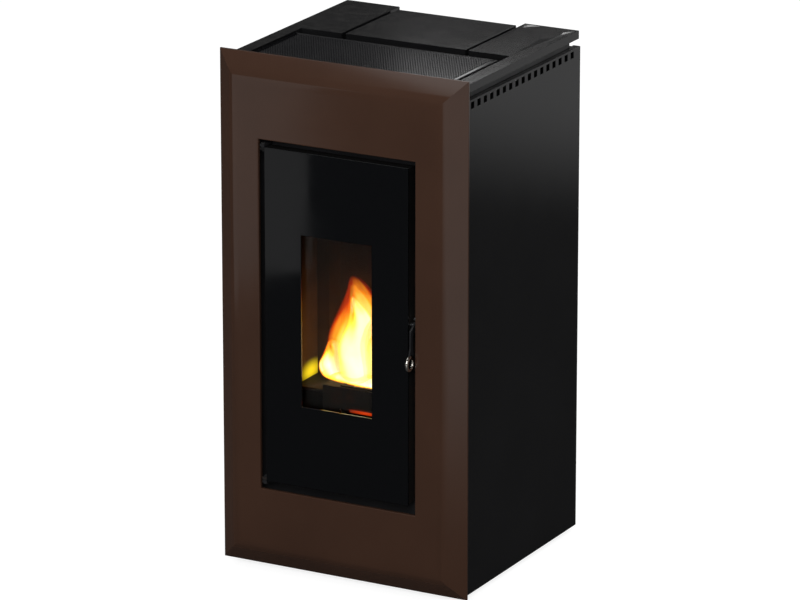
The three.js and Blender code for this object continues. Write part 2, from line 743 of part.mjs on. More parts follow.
function rearPanel() {
  const through = [rearPanelFront - 1, rearPanelRear + 1];
  const sheet = centredBox(insideX, [rearPanelFront, rearPanelRear], [baseTop + GAP, panelTop - SHEET - GAP]);
  const flueHole = rod('y', FLUE_RADIUS + GAP, through, [flueX, flueZ]);
  const intakeHole = rod('y', INTAKE_RADIUS + GAP, through, [intakeX, intakeZ]);
  const inletHole = box(
    [INLET_X - INLET_WIDTH / 2 - GAP, INLET_X + INLET_WIDTH / 2 + GAP],
    through,
    [INLET_Z - GAP, INLET_Z + INLET_HEIGHT + GAP],
  );
  const buttonHole = rod('y', BUTTON_RADIUS + GAP, through, [THERMOSTAT_X, THERMOSTAT_Z]);
  return cut(sheet, flueHole, intakeHole, inletHole, buttonHole, ...louvreCuts());
}

piece('base_plate', basePlate(), FINISH.blackPaint);
footPlaces.forEach((place) => piece(place.name, foot(place), FINISH.rubber));
piece('left_side_panel', sidePanel(-1), FINISH.blackSatin);
piece('right_side_panel', sidePanel(1), FINISH.blackSatin);
piece('rear_panel', rearPanel(), FINISH.blackPaint);

// ---- Front frame and surround ----------------------------------------------------------------

const hingeArmLower = glassBottom - GAP - HINGE_LUG;
const hingeArmUpper = glassTop + GAP;

/** An arm of the front frame that holds a hinge pin beside the door. */
function hingeArm(bottom) {
  const xs = [hingeX - HINGE_LUG_RADIUS, hingeX + HINGE_LUG_RADIUS];
  const arm = box(xs, [hingeY - HINGE_LUG_RADIUS, frameRear], [bottom, bottom + HINGE_LUG]);
  const hole = rod('z', HINGE_PIN_RADIUS + GAP, [bottom - 1, bottom + HINGE_LUG + 1], [hingeX, hingeY]);
  return cut(arm, hole);
}

function frontFrame() {
  const doorwayInset = SEAL_GROOVE_WALL - DOORWAY_CLEARANCE;
  const plate = centredBox(insideX, [frameFront, frameRear], [baseTop + GAP, panelTop - SHEET - GAP]);
  const doorway = centredBox(
    doorFrameHalf - doorwayInset,
    [frameFront - PAST, frameRear + PAST],
    [doorFrameBottom + doorwayInset, doorFrameTop - doorwayInset],
  );
  return join(cut(plate, doorway), hingeArm(hingeArmLower), hingeArm(hingeArmUpper));
}

/** Upright ring of the surround, a given distance in from its outer edge. */
function surroundRing(inset, y) {
  return uprightRing(surroundHalf - inset, [surroundBottom + inset, surroundTop - inset], y);
}

function frontSurround() {
  const slope = SURROUND_PROUD / BEVEL_WIDTH;
  const soft = BEVEL_SOFTENING;
  const face = -SURROUND_PROUD;
  const backFace = face + SURROUND_WALL;
  const openingRing = (y) => uprightRing(openingHalf, [openingBottom, openingTop], y);
  const rings = [
    surroundRing(0, SURROUND_EDGE),
    surroundRing(0, 0),
    surroundRing(BEVEL_WIDTH - soft, -(BEVEL_WIDTH - soft) * slope),
    surroundRing(BEVEL_WIDTH, face + soft * slope * BEVEL_SOFT_SHARE),
    surroundRing(BEVEL_WIDTH + soft, face),
    openingRing(face),
    openingRing(backFace),
    surroundRing(BEVEL_WIDTH + SURROUND_WALL, backFace),
    surroundRing(RIM_WIDTH, SURROUND_EDGE),
  ];
  return loft(rings, true);
}

piece('front_frame', frontFrame(), FINISH.blackPaint);
piece('front_surround', frontSurround(), FINISH.brownEnamel);

// ---- Top: neck, cover, plugs and grille ------------------------------------------------------

const mouthX = lidX - HOPPER_MOUTH_SIDE_INSET;
const mouthYs = [lidFront + HOPPER_MOUTH_FRONT_INSET, lidRear - HOPPER_MOUTH_REAR_INSET];
const collarX = mouthX + HOPPER_SHEET;
const collarYs = [mouthYs[0] - HOPPER_SHEET, mouthYs[1] + HOPPER_SHEET];

function topFrame() {
  const skinBottom = coverTop - COVER_SKIN - GAP;
  const deck = centredBox(neckX, [frameFront, neckRear], [deckBottom, deckTop]);
  const sideWalls = [-1, 1].map((side) => box(
    [side * neckX, side * (neckX - NECK_WALL)],
    [bodyFront + COVER_WALL + GAP, neckRear],
    [deckBottom, skinBottom],
  ));
  const rearWalls = [-1, 1].map((side) => box(
    [side * neckX, side * (blockInner + COVER_WALL + GAP)],
    [neckRear - NECK_WALL, neckRear],
    [deckBottom, skinBottom],
  ));
  const hoodOpening = centredBox(
    HOOD_MOUTH_WIDTH / 2,
    [frameRear + NECK_INSET, frameRear + NECK_INSET + HOOD_DEPTH],
    [deckBottom - 1, deckTop + 1],
  );
  const hopperOpening = centredBox(
    collarX + GAP,
    [collarYs[0] - GAP, collarYs[1] + GAP],
    [deckBottom - 1, deckTop + 1],
  );
  return cut(join(deck, ...sideWalls, ...rearWalls), hoodOpening, hopperOpening);
}

/** One side of the cover: the rail beside the grille and the block beside the lid. */
function coverSide(side, shrink, heights) {
  const outer = side * (halfBody - shrink);
  const railYs = [bodyFront + shrink, blockFront + shrink + 1];
  const blockYs = [blockFront + shrink, coverRear - shrink];
  const rail = box([outer, side * (railInner + shrink)], railYs, heights);
  const block = box([outer, side * (blockInner + shrink)], blockYs, heights);
  return join(rail, block);
}

function topCover() {
  const skinBottom = coverTop - COVER_SKIN;
  const outsides = [-1, 1].map((side) => coverSide(side, 0, [coverBottom, coverTop]));
  const hollows = [-1, 1].map((side) => coverSide(side, COVER_WALL, [coverBottom - 1, skinBottom]));
  const tie = centredBox(
    railInner + COVER_WALL / 2,
    [grilleRear + COVER_WALL, blockFront - GAP],
    [coverBottom, coverBottom + COVER_WALL],
  );
  const rebateBottom = coverTop - PLUG_THICKNESS - GAP;
  const rebates = [-1, 1].map((side) => (
    rod('z', PLUG_RADIUS + GAP, [rebateBottom, coverTop + 1], [side * plugX, plugY], 2 * SIDES)
  ));
  const holes = [-1, 1].map((side) => (
    rod('z', PLUG_RADIUS - PLUG_LEDGE, [skinBottom - 1, coverTop + 1], [side * plugX, plugY], 2 * SIDES)
  ));
  const pinHoleXs = [blockInner - PAST, blockInner + COVER_WALL + PAST];
  const pinHoles = [-1, 1].map((side) => (
    rod('x', LID_PIN_RADIUS + GAP, pinHoleXs.map((x) => side * x), [lidPinY, lidPinZ])
  ));
  const hollow = cut(join(...outsides), ...hollows);
  return cut(join(hollow, tie), ...rebates, ...holes, ...pinHoles);
}

function roundPlug(side) {
  return rod('z', PLUG_RADIUS, [coverTop - PLUG_THICKNESS, coverTop], [side * plugX, plugY], 2 * SIDES);
}

/** The perforated grille, its many fine holes drawn here as rows of slots. */
function airGrille() {
  const heights = [deckTop + GAP, coverTop];
  const outside = centredBox(grilleX, [grilleFront, grilleRear], heights);
  const hollow = centredBox(
    grilleX - GRILLE_SKIN,
    [grilleFront + GRILLE_SKIN, grilleRear - GRILLE_SKIN],
    [heights[0] - 1, coverTop - GRILLE_SKIN],
  );
  const rows = Math.floor((GRILLE_DEPTH - 2 * GRILLE_BORDER) / GRILLE_ROW_PITCH);
  const columns = Math.floor((2 * grilleX - 2 * GRILLE_BORDER) / GRILLE_COLUMN_PITCH);
  const slots = [];
  for (let row = 0; row < rows; row += 1) {
    for (let column = 0; column < columns; column += 1) {
      const x = (column - (columns - 1) / 2) * GRILLE_COLUMN_PITCH;
      const y = (grilleFront + grilleRear) / 2 + (row - (rows - 1) / 2) * GRILLE_ROW_PITCH;
      slots.push(box(
        [x - GRILLE_SLOT_LENGTH / 2, x + GRILLE_SLOT_LENGTH / 2],
        [y - GRILLE_SLOT_WIDTH / 2, y + GRILLE_SLOT_WIDTH / 2],
        [coverTop - GRILLE_SKIN - PAST, coverTop + PAST],
      ));
    }
  }
  return cut(outside, hollow, ...slots);
}

piece('top_frame', topFrame(), FINISH.blackPaint);
piece('top_cover', topCover(), FINISH.blackSatin);
piece('left_round_plug', roundPlug(-1), FINISH.blackSatin);
piece('right_round_plug', roundPlug(1), FINISH.blackSatin);
piece('air_grille', airGrille(), FINISH.blackPaint);

// ---- Hopper, its lid and its grid ------------------------------------------------------------

const collarTop = coverTop - HOPPER_COLLAR_TOP_DROP;
const hopperLedgeZ = deckBottom - HOPPER_LEDGE_DROP;
const shoulderTop = hopperLedgeZ - HOPPER_FLANGE;
const shoulderBottom = shoulderTop - HOPPER_SHOULDER;
const taperTop = hopperOutletZ + HOPPER_TAPER;
const binX = halfBody - HOPPER_SIDE_MARGIN;
const binYs = [smokeDuctRear + HOPPER_DUCT_GAP, rearPanelFront - HOPPER_REAR_MARGIN];
const feedYs = [feedInletY - FEED_DEPTH / 2, feedInletY + FEED_DEPTH / 2];
const feedX = FEED_WIDTH / 2;

/** A horizontal ring of the hopper, widened by one sheet for the outside. */
function hopperRing(half, [y0, y1], z, widen) {
  return flatRing([-half - widen, half + widen], [y0 - widen, y1 + widen], z);
}

function hopper() {
  const sheet = HOPPER_SHEET;
  const flangeZ = deckTop + GAP;
  const ledgeX = mouthX - HOPPER_LEDGE;
  const ledgeYs = [mouthYs[0] + HOPPER_LEDGE, mouthYs[1] - HOPPER_LEDGE];
  const rings = [
    hopperRing(mouthX, mouthYs, collarTop, sheet),
    hopperRing(mouthX, mouthYs, flangeZ + sheet, sheet),
    hopperRing(mouthX, mouthYs, flangeZ + sheet, HOPPER_FLANGE),
    hopperRing(mouthX, mouthYs, flangeZ, HOPPER_FLANGE),
    hopperRing(mouthX, mouthYs, flangeZ, sheet),
    hopperRing(mouthX, mouthYs, shoulderTop, sheet),
    hopperRing(binX, binYs, shoulderBottom, sheet),
    hopperRing(binX, binYs, taperTop, sheet),
    hopperRing(feedX, feedYs, hopperOutletZ + GAP, sheet),
    hopperRing(feedX, feedYs, hopperOutletZ + GAP, 0),
    hopperRing(binX, binYs, taperTop, 0),
    hopperRing(binX, binYs, shoulderBottom, 0),
    hopperRing(ledgeX, ledgeYs, shoulderTop, 0),
    hopperRing(ledgeX, ledgeYs, hopperLedgeZ, 0),
    hopperRing(mouthX, mouthYs, hopperLedgeZ, 0),
    hopperRing(mouthX, mouthYs, collarTop, 0),
  ];
  return loft(rings, true);
}

/** Finger guard of crossed bars that rests on the hopper's inner ledge. */
function hopperGrid() {
  const half = mouthX - GAP;
  const ys = [mouthYs[0] + GAP, mouthYs[1] - GAP];
  const heights = [hopperLedgeZ + GAP, hopperLedgeZ + GAP + GRID_BAR];
  const pitch = (2 * half - GRID_BAR) / (GRID_BARS - 1);
  const bars = Array.from({ length: GRID_BARS }, (_, i) => {
    const x = -half + i * pitch;
    return box([x, x + GRID_BAR], ys, heights);
  });
  const middle = (ys[0] + ys[1]) / 2;
  const rails = [ys[0], middle - GRID_BAR / 2, ys[1] - GRID_BAR].map((y) => (
    centredBox(half, [y, y + GRID_BAR], heights)
  ));
  return join(...bars, ...rails);
}

function hopperLid() {
  const outside = centredBox(lidX, [lidFront, lidRear], [lidSkirtBottom, coverTop]);
  const hollow = centredBox(
    lidX - LID_SKIN,
    [lidFront + LID_SKIN, lidRear - LID_SKIN],
    [lidSkirtBottom - 1, coverTop - LID_SKIN],
  );
  const pinHole = rod('x', LID_PIN_RADIUS + GAP, [-lidX - 1, lidX + 1], [lidPinY, lidPinZ]);
  return cut(outside, hollow, pinHole);
}

/** Soft ring under the lid that closes on the hopper's collar. */
function lidGasket() {
  const heights = [collarTop + GAP, coverTop - LID_SKIN - GAP];
  const centreX = mouthX + HOPPER_SHEET / 2;
  const centreYs = [mouthYs[0] - HOPPER_SHEET / 2, mouthYs[1] + HOPPER_SHEET / 2];
  const outer = GASKET_WIDTH / 2;
  const rings = [
    [outer, heights[0]],
    [outer, heights[1]],
    [-outer, heights[1]],
    [-outer, heights[0]],
  ].map(([widen, z]) => hopperRing(centreX, centreYs, z, widen));
  return loft(rings, true);
}

function lidPin(side) {
  const inner = lidX - LID_SKIN - LID_PIN_TAIL;
  const outer = blockInner + COVER_WALL + GAP;
  const headEnd = outer + PIN_HEAD_HEIGHT;
  const shaft = rod('x', LID_PIN_RADIUS, [side * inner, side * headEnd], [lidPinY, lidPinZ]);
  const head = rod('x', LID_PIN_RADIUS + PIN_HEAD_RIM, [side * outer, side * headEnd], [lidPinY, lidPinZ]);
  return join(shaft, head);
}

piece('hopper', hopper(), FINISH.steel);
piece('hopper_grid', hopperGrid(), FINISH.steel);
piece('hopper_lid', hopperLid(), FINISH.blackSatin);
piece('lid_gasket', lidGasket(), FINISH.rubber);
piece('lid_pin_left', lidPin(-1), FINISH.steel);
piece('lid_pin_right', lidPin(1), FINISH.steel);

// ---- Firebox ---------------------------------------------------------------------------------

const feedHoleZs = [chuteMouthZ + FEED_WALL, chuteMouthZ + CHUTE_MOUTH_HEIGHT - FEED_WALL];
const igniterZ = shelfBottom - IGNITER_DROP;
const smokePortTop = fireboxTop - FIREBOX_WALL - SMOKE_PORT_DROP;
const smokePortZs = [smokePortTop - SMOKE_PORT_HEIGHT, smokePortTop];
const smokePortHalf = SMOKE_DUCT_WIDTH / 2 - SMOKE_PORT_MARGIN;
const smokePortXs = [smokeDuctX - smokePortHalf, smokeDuctX + smokePortHalf];

function fireboxShell() {
  const outside = centredBox(fireboxHalf, [flangeFront, fireboxRear], [fireboxBottom, fireboxTop]);
  const flange = centredBox(
    fireboxHalf + FIREBOX_FLANGE,
    [flangeFront, fireboxFront],
    [fireboxBottom - FIREBOX_FLANGE, fireboxTop + FIREBOX_FLANGE],
  );
  const hollow = centredBox(
    fireboxInner,
    [fireboxFront, fireboxInnerRear],
    [fireboxFloor, fireboxTop - FIREBOX_WALL],
  );
  const mouth = centredBox(
    fireboxHalf - FIREBOX_MOUTH_INSET,
    [flangeFront - 1, fireboxFront + 1],
    [fireboxFloor, fireboxTop - FIREBOX_MOUTH_DROP],
  );
  const ledges = [-1, 1].map((side) => box(
    [side * (fireboxInner + FIREBOX_WALL / 2), side * (fireboxInner - LEDGE_WIDTH)],
    [SHELF_FRONT + LEDGE_END_GAP, fireboxInnerRear - LEDGE_END_GAP],
    [shelfBottom - GAP - LEDGE_HEIGHT, shelfBottom - GAP],
  ));
  const through = [fireboxInnerRear - 1, fireboxRear + 1];
  const feedHole = centredBox(feedX, through, feedHoleZs);
  const smokePort = box(smokePortXs, through, smokePortZs);
  const intakeHole = rod('y', INTAKE_RADIUS - INTAKE_WALL, through, [intakeX, intakeZ]);
  const igniterHole = rod('y', IGNITER_RADIUS + GAP, through, [0, igniterZ]);
  const shell = join(cut(join(outside, flange), hollow, mouth), ...ledges);
  return cut(shell, feedHole, smokePort, intakeHole, igniterHole);
}

/** Rear liner in plan: a shallow niche between two pilasters with splayed sides. */
function backLiner() {
  const half = fireboxInner - LINER_THICKNESS - 2 * GAP;
  const rear = fireboxInnerRear - GAP;
  const niche = rear - BACK_LINER_THICKNESS;
  const front = niche - PILASTER_DEPTH;
  const outline = [
    [-half, rear],
    [-half, front],
    [-half + PILASTER_WIDTH, front],
    [-half + PILASTER_WIDTH + PILASTER_SPLAY, niche],
    [half - PILASTER_WIDTH - PILASTER_SPLAY, niche],
    [half - PILASTER_WIDTH, front],
    [half, front],
    [half, rear],
  ];
  const feedHole = centredBox(feedX, [niche - 1, rear + 1], feedHoleZs);
  return cut(raised(outline, [linerBottom, linerTop]), feedHole);
}

function sideLiner(side) {
  const outer = side * (fireboxInner - GAP);
  return box(
    [outer, outer - side * LINER_THICKNESS],
    [fireboxFront + 2, fireboxInnerRear - GAP],
    [linerBottom, linerTop],
  );
}

function bafflePlate() {
  return centredBox(
    fireboxInner - 2 * GAP,
    [fireboxFront + BAFFLE_FRONT_GAP, fireboxInnerRear - GAP],
    [linerTop + GAP, linerTop + GAP + BAFFLE_THICKNESS],
  );
}

/** Shelf that carries the burn pot, with a raised block and an apron that hides the ash fall. */
function potShelf() {
  const blockX = POT_BLOCK_WIDTH / 2;
  const shelfYs = [SHELF_FRONT, fireboxInnerRear - GAP];
  const shelf = centredBox(fireboxInner - 2 * GAP, shelfYs, [shelfBottom, shelfTop]);
  const block = centredBox(
    blockX,
    [SHELF_FRONT, SHELF_FRONT + POT_BLOCK_DEPTH],
    [shelfTop - 1, potBlockTop],
  );
  const apron = centredBox(
    blockX,
    [SHELF_FRONT, SHELF_FRONT + APRON_THICKNESS],
    [shelfBottom - APRON_DROP, shelfBottom + 1],
  );
  const potHole = centredBox(
    POT_WIDTH / 2 + GAP,
    [potFront - GAP, potFront + POT_DEPTH + GAP],
    [shelfBottom - 1, potBlockTop + 1],
  );
  const slotTop = shelfBottom - APRON_SLOT_DROP;
  const slot = centredBox(
    APRON_SLOT_WIDTH / 2,
    [SHELF_FRONT - 1, SHELF_FRONT + APRON_THICKNESS + 1],
    [slotTop - APRON_SLOT_HEIGHT, slotTop],
  );
  return cut(join(shelf, block, apron), potHole, slot);
}

/** A horizontal ring of the burn pot, drawn in from its outside. */
function potRing(z, inset) {
  const half = POT_WIDTH / 2 - inset;
  return flatRing([-half, half], [potFront + inset, potFront + POT_DEPTH - inset], z);
}

function burnPot() {
  const rimBottom = potBlockTop + GAP;
  const rimTop = rimBottom + POT_RIM_HEIGHT;
  const bottom = rimTop - POT_HEIGHT;
  const rings = [
    potRing(bottom, POT_TAPER),
    potRing(rimBottom, 0),
    potRing(rimBottom, -POT_RIM),
    potRing(rimTop, -POT_RIM),
    potRing(rimTop, POT_WALL),
    potRing(bottom + POT_WALL, POT_TAPER + POT_WALL),
  ];
  const holes = [];
  for (let column = -2; column <= 2; column += 1) {
    for (let row = -1; row <= 1; row += 1) {
      const at = [column * POT_HOLE_PITCH.x, potMiddleY + row * POT_HOLE_PITCH.y];
      holes.push(rod('z', POT_HOLE_RADIUS, [bottom - PAST, bottom + POT_WALL + PAST], at, 6));
    }
  }
  return cut(loft(rings, false), ...holes);
}

const drawerFront = fireboxFront + DRAWER_SETBACK;

function ashDrawer() {
  const half = DRAWER_WIDTH / 2;
  const bottom = fireboxFloor + GAP;
  const top = bottom + DRAWER_HEIGHT;
  const ys = [drawerFront, drawerFront + DRAWER_DEPTH];
  const outside = centredBox(half, ys, [bottom, top]);
  const hollow = centredBox(
    half - DRAWER_WALL,
    [ys[0] + DRAWER_WALL, ys[1] - DRAWER_WALL],
    [bottom + DRAWER_WALL, top + 1],
  );
  const grip = centredBox(
    DRAWER_PULL_WIDTH / 2,
    [ys[0] - 1, ys[0] + DRAWER_WALL + 1],
    [top - DRAWER_PULL_DROP - DRAWER_PULL_HEIGHT, top - DRAWER_PULL_DROP],
  );
  return cut(outside, hollow, grip);
}

piece('firebox_shell', fireboxShell(), FINISH.castIron);
piece('back_liner', backLiner(), FINISH.vermiculite);
piece('left_liner', sideLiner(-1), FINISH.vermiculite);
piece('right_liner', sideLiner(1), FINISH.vermiculite);
piece('baffle_plate', bafflePlate(), FINISH.castIron);
piece('pot_shelf', potShelf(), FINISH.castIron);
piece('burn_pot', burnPot(), FINISH.castIron);
piece('ash_drawer', ashDrawer(), FINISH.steel);

// ---- Feed ------------------------------------------------------------------------------------

/** Turns a geometry built along +Z so that it lies along the auger, from its low end upwards. */
function onAuger(geometry) {
  const up = new THREE.Vector3(0, -Math.cos(AUGER_SLOPE), Math.sin(AUGER_SLOPE));
  const across = new THREE.Vector3(1, 0, 0);
  const over = new THREE.Vector3().crossVectors(up, across);
  const turn = new THREE.Matrix4().makeBasis(across, over, up);
  return geometry.applyMatrix4(turn).translate(0, AUGER_LOW_Y, AUGER_LOW_Z);
}

/** A rod about the auger's own axis. */
function augerRod(radius, span) {
  return onAuger(rod('z', radius, span, [0, 0]));
}

const augerOutlet = [feedOutletY - OUTLET_DEPTH / 2, feedOutletY + OUTLET_DEPTH / 2];

function augerTube() {
  const wall = FEED_WALL;
  const tube = augerRod(AUGER_BORE + AUGER_TUBE_WALL, [0, AUGER_LENGTH]);
  const bore = augerRod(AUGER_BORE, [wall, AUGER_LENGTH - wall]);
  const inletOutside = centredBox(
    feedX + wall,
    [feedYs[0] - wall, feedYs[1] + wall],
    [AUGER_LOW_Z + FEED_INLET_FORWARD, hopperOutletZ],
  );
  const inletInside = centredBox(feedX, feedYs, [AUGER_LOW_Z + FEED_INLET_FORWARD, hopperOutletZ + 1]);
  const outletMiddle = AUGER_LOW_Z + outletForward;
  const outletOutside = centredBox(feedX + wall, augerOutlet, [feedOutletZ + GAP, outletMiddle]);
  const outletInside = centredBox(
    feedX,
    [augerOutlet[0] + wall, augerOutlet[1] - wall],
    [feedOutletZ - 1, outletMiddle],
  );
  const bushHole = augerRod(AUGER_SHAFT_RADIUS + BUSH_WALL + GAP, [-1, wall + 1]);
  const above = augerRod(AUGER_BORE + AUGER_TUBE_WALL, [AUGER_LENGTH, AUGER_LENGTH + 2 * AUGER_BORE]);
  const casing = cut(join(tube, inletOutside, outletOutside), above);
  return cut(casing, bore, inletInside, outletInside, bushHole);
}

/** One flight on a shaft: the section turns steadily as it climbs. */
function augerScrew() {
  const flightStart = 2 * FEED_WALL + BUSH_WALL;
  const flightEnd = AUGER_LENGTH - FEED_WALL - FLIGHT_END_GAP;
  const turns = (flightEnd - flightStart) / AUGER_PITCH;
  const steps = Math.round(turns * AUGER_STEPS_PER_TURN);
  const flight = [-FLIGHT_HALF_ANGLE, FLIGHT_HALF_ANGLE].map((angle) => [AUGER_SCREW_RADIUS, angle]);
  const shaftAngles = [0.5, 1.6, 2.7, 3.6, 4.7, 5.8];
  const section = [...flight, ...shaftAngles.map((angle) => [AUGER_SHAFT_RADIUS, angle])];
  const rings = Array.from({ length: steps + 1 }, (_, i) => {
    const turn = (i / AUGER_STEPS_PER_TURN) * 2 * Math.PI;
    const z = flightStart + ((flightEnd - flightStart) * i) / steps;
    return section.map(([radius, angle]) => (
      [radius * Math.cos(angle + turn), radius * Math.sin(angle + turn), z]
    ));
  });
  const shaft = rod('z', AUGER_SHAFT_RADIUS, [-GEARBOX_SOCKET + 2, flightStart + 2], [0, 0]);
  return onAuger(join(loft(rings, false), shaft));
}

function augerBush() {
  const outer = AUGER_SHAFT_RADIUS + BUSH_WALL;
  const sleeve = rod('z', outer, [0, FEED_WALL + BUSH_WALL], [0, 0]);
  const collar = rod('z', outer + BUSH_COLLAR, [FEED_WALL + GAP, FEED_WALL + BUSH_WALL], [0, 0]);
  const bore = rod('z', AUGER_SHAFT_RADIUS + GAP, [-1, FEED_WALL + BUSH_WALL + 1], [0, 0]);
  return onAuger(cut(join(sleeve, collar), bore));
}

function augerGearmotor() {
  const half = GEARBOX_SIZE / 2;
  const gearbox = box([-half, half], [-half, half], [-GAP - GEARBOX_LENGTH, -GAP]);
  const canTop = -GAP - GEARBOX_LENGTH;
  const can = rod('z', GEARMOTOR_RADIUS, [canTop - GEARMOTOR_LENGTH, canTop + 1], [0, 0]);
  const socket = rod('z', AUGER_SHAFT_RADIUS + GAP, [-GAP - GEARBOX_SOCKET, 1], [0, 0]);
  return onAuger(cut(join(gearbox, can), socket));
}

/** Sloping duct that drops the pellets through the firebox's rear wall into the pot. */
function pelletChute() {
  const mouthZs = [chuteMouthZ, chuteMouthZ + CHUTE_MOUTH_HEIGHT];
  const topRing = (widen) => {
    const half = feedX + widen;
    const inset = FEED_WALL - widen;
    const ys = [augerOutlet[0] + inset, augerOutlet[1] - inset];
    return [
      [-half, ys[0], feedOutletZ],
      [half, ys[0], feedOutletZ],
      [half, ys[1], feedOutletZ],
      [-half, ys[1], feedOutletZ],
    ];
  };
  const mouthRing = (widen) => {
    const half = feedX + widen;
    const inset = FEED_WALL - widen;
    return [
      [-half, backOfFirebox, mouthZs[1] - inset],
      [half, backOfFirebox, mouthZs[1] - inset],
      [half, backOfFirebox, mouthZs[0] + inset],
      [-half, backOfFirebox, mouthZs[0] + inset],
    ];
  };
  return loft([topRing(FEED_WALL), mouthRing(FEED_WALL), mouthRing(0), topRing(0)], true);
}

function igniter() {
  const { rim, length } = IGNITER_COLLAR;
  const tip = potFront + POT_DEPTH + IGNITER_POT_GAP;
  const heater = rod('y', IGNITER_RADIUS, [tip, tip + IGNITER_LENGTH], [0, igniterZ]);
  const collar = rod('y', IGNITER_RADIUS + rim, [backOfFirebox, backOfFirebox + length], [0, igniterZ]);
  return join(heater, collar);
}

piece('pellet_chute', pelletChute(), FINISH.steel);
piece('auger_tube', augerTube(), FINISH.steel);
piece('auger_screw', augerScrew(), FINISH.steel);
piece('auger_bush', augerBush(), FINISH.steel);
piece('auger_gearmotor', augerGearmotor(), FINISH.blackPaint);
piece('igniter', igniter(), FINISH.steel);

// ---- Smoke path and air intake ---------------------------------------------------------------

function smokeDuct() {
  const wall = FEED_WALL;
  const half = SMOKE_DUCT_WIDTH / 2;
  const xs = [smokeDuctX - half, smokeDuctX + half];
  const zs = [fireboxBottom + SMOKE_DUCT_FOOT, fireboxTop - FIREBOX_WALL];
  const outside = box(xs, [backOfFirebox, smokeDuctRear], zs);
  const inside = box(
    [xs[0] + wall, xs[1] - wall],
    [backOfFirebox + wall, smokeDuctRear - wall],
    [zs[0] + wall, zs[1] - wall],
  );
  const port = box(smokePortXs, [backOfFirebox - 1, backOfFirebox + wall + 1], smokePortZs);
  const outlet = rod(
    'y',
    EXHAUST_INLET_RADIUS,
    [smokeDuctRear - wall - 1, smokeDuctRear + 1],
    [smokeDuctX, exhaustZ],
  );
  return cut(outside, inside, port, outlet);
}

function exhaustFanHousing() {
  const wall = FEED_WALL;
  const centre = [smokeDuctX, exhaustZ];
  const boxXs = [outletBoxLeft, smokeDuctX];
  const boxZs = [flueZ - OUTLET_BOX_HEIGHT / 2, flueZ + OUTLET_BOX_HEIGHT / 2];
  const innerYs = [exhaustFront + wall, exhaustRear - wall];
  const drum = rod('y', EXHAUST_DRUM_RADIUS, [exhaustFront, exhaustRear], centre, 2 * SIDES);
  const outletBox = box(boxXs, [exhaustFront, exhaustRear], boxZs);
  const drumHollow = rod('y', EXHAUST_DRUM_RADIUS - wall, innerYs, centre, 2 * SIDES);
  const boxHollow = box([boxXs[0] + wall, boxXs[1]], innerYs, [boxZs[0] + wall, boxZs[1] - wall]);
  const inlet = rod('y', EXHAUST_INLET_RADIUS, [exhaustFront - 1, innerYs[0] + 1], centre);
  const rearWall = [innerYs[1] - PAST, exhaustRear + PAST];
  const shaftHole = rod('y', EXHAUST_SHAFT_RADIUS + EXHAUST_SHAFT_CLEARANCE, rearWall, centre);
  const flueHole = rod('y', FLUE_RADIUS - FLUE_WALL, rearWall, [flueX, flueZ]);
  return cut(join(drum, outletBox), drumHollow, boxHollow, inlet, shaftHole, flueHole);
}

/** Paddle wheel: a back plate, a hub on its shaft and straight blades. */
function exhaustImpeller() {
  const radius = EXHAUST_IMPELLER_RADIUS;
  const plate = EXHAUST_WHEEL_PLATE;
  const wheelFront = EXHAUST_WHEEL_START;
  const wheelRear = wheelFront + EXHAUST_WHEEL_DEPTH;
  const hubFront = wheelFront + EXHAUST_HUB_SETBACK;
  const disc = rod('z', radius, [wheelRear - plate, wheelRear], [0, 0]);
  const hub = rod('z', EXHAUST_HUB_RADIUS, [hubFront, wheelRear], [0, 0]);
  const shaft = rod('z', EXHAUST_SHAFT_RADIUS, [hubFront, EXHAUST_DRUM_DEPTH + EXHAUST_SHAFT_SEAT], [0, 0]);
  const bladeXs = [EXHAUST_HUB_RADIUS * 2 / 3, radius - 1];
  const blade = box(bladeXs, [-plate / 2, plate / 2], [wheelFront, wheelRear - plate / 2]);
  const wheel = join(disc, hub, shaft, ...spokes(blade, EXHAUST_BLADES));
  return along(wheel, 'y', [smokeDuctX, exhaustFront, exhaustZ]);
}

function exhaustMotor() {
  const start = exhaustRear + GAP;
  const centre = [smokeDuctX, exhaustZ];
  const can = rod('y', EXHAUST_MOTOR_RADIUS, [start, start + EXHAUST_MOTOR_LENGTH], centre);
  const socket = rod('y', EXHAUST_SHAFT_RADIUS + GAP, [start - PAST, start + EXHAUST_MOTOR_SOCKET], centre);
  return cut(can, socket);
}

piece('smoke_duct', smokeDuct(), FINISH.steel);
piece('exhaust_fan_housing', exhaustFanHousing(), FINISH.steel);
piece('exhaust_fan_impeller', exhaustImpeller(), FINISH.steel);
piece('exhaust_fan_motor', exhaustMotor(), FINISH.blackPaint);
piece(
  'flue_spigot',
  flangedTube(FLUE_RADIUS, FLUE_WALL, FLUE_FLANGE, 2, [exhaustRear + GAP, flueRear], [flueX, flueZ]),
  FINISH.blackPaint,
);
piece(
  'air_intake_pipe',
  flangedTube(
    INTAKE_RADIUS,
    INTAKE_WALL,
    INTAKE_FLANGE,
    2,
    [backOfFirebox, BODY_REAR + INTAKE_STUB],
    [intakeX, intakeZ],
  ),
  FINISH.steel,
);

// ---- Room air --------------------------------------------------------------------------------

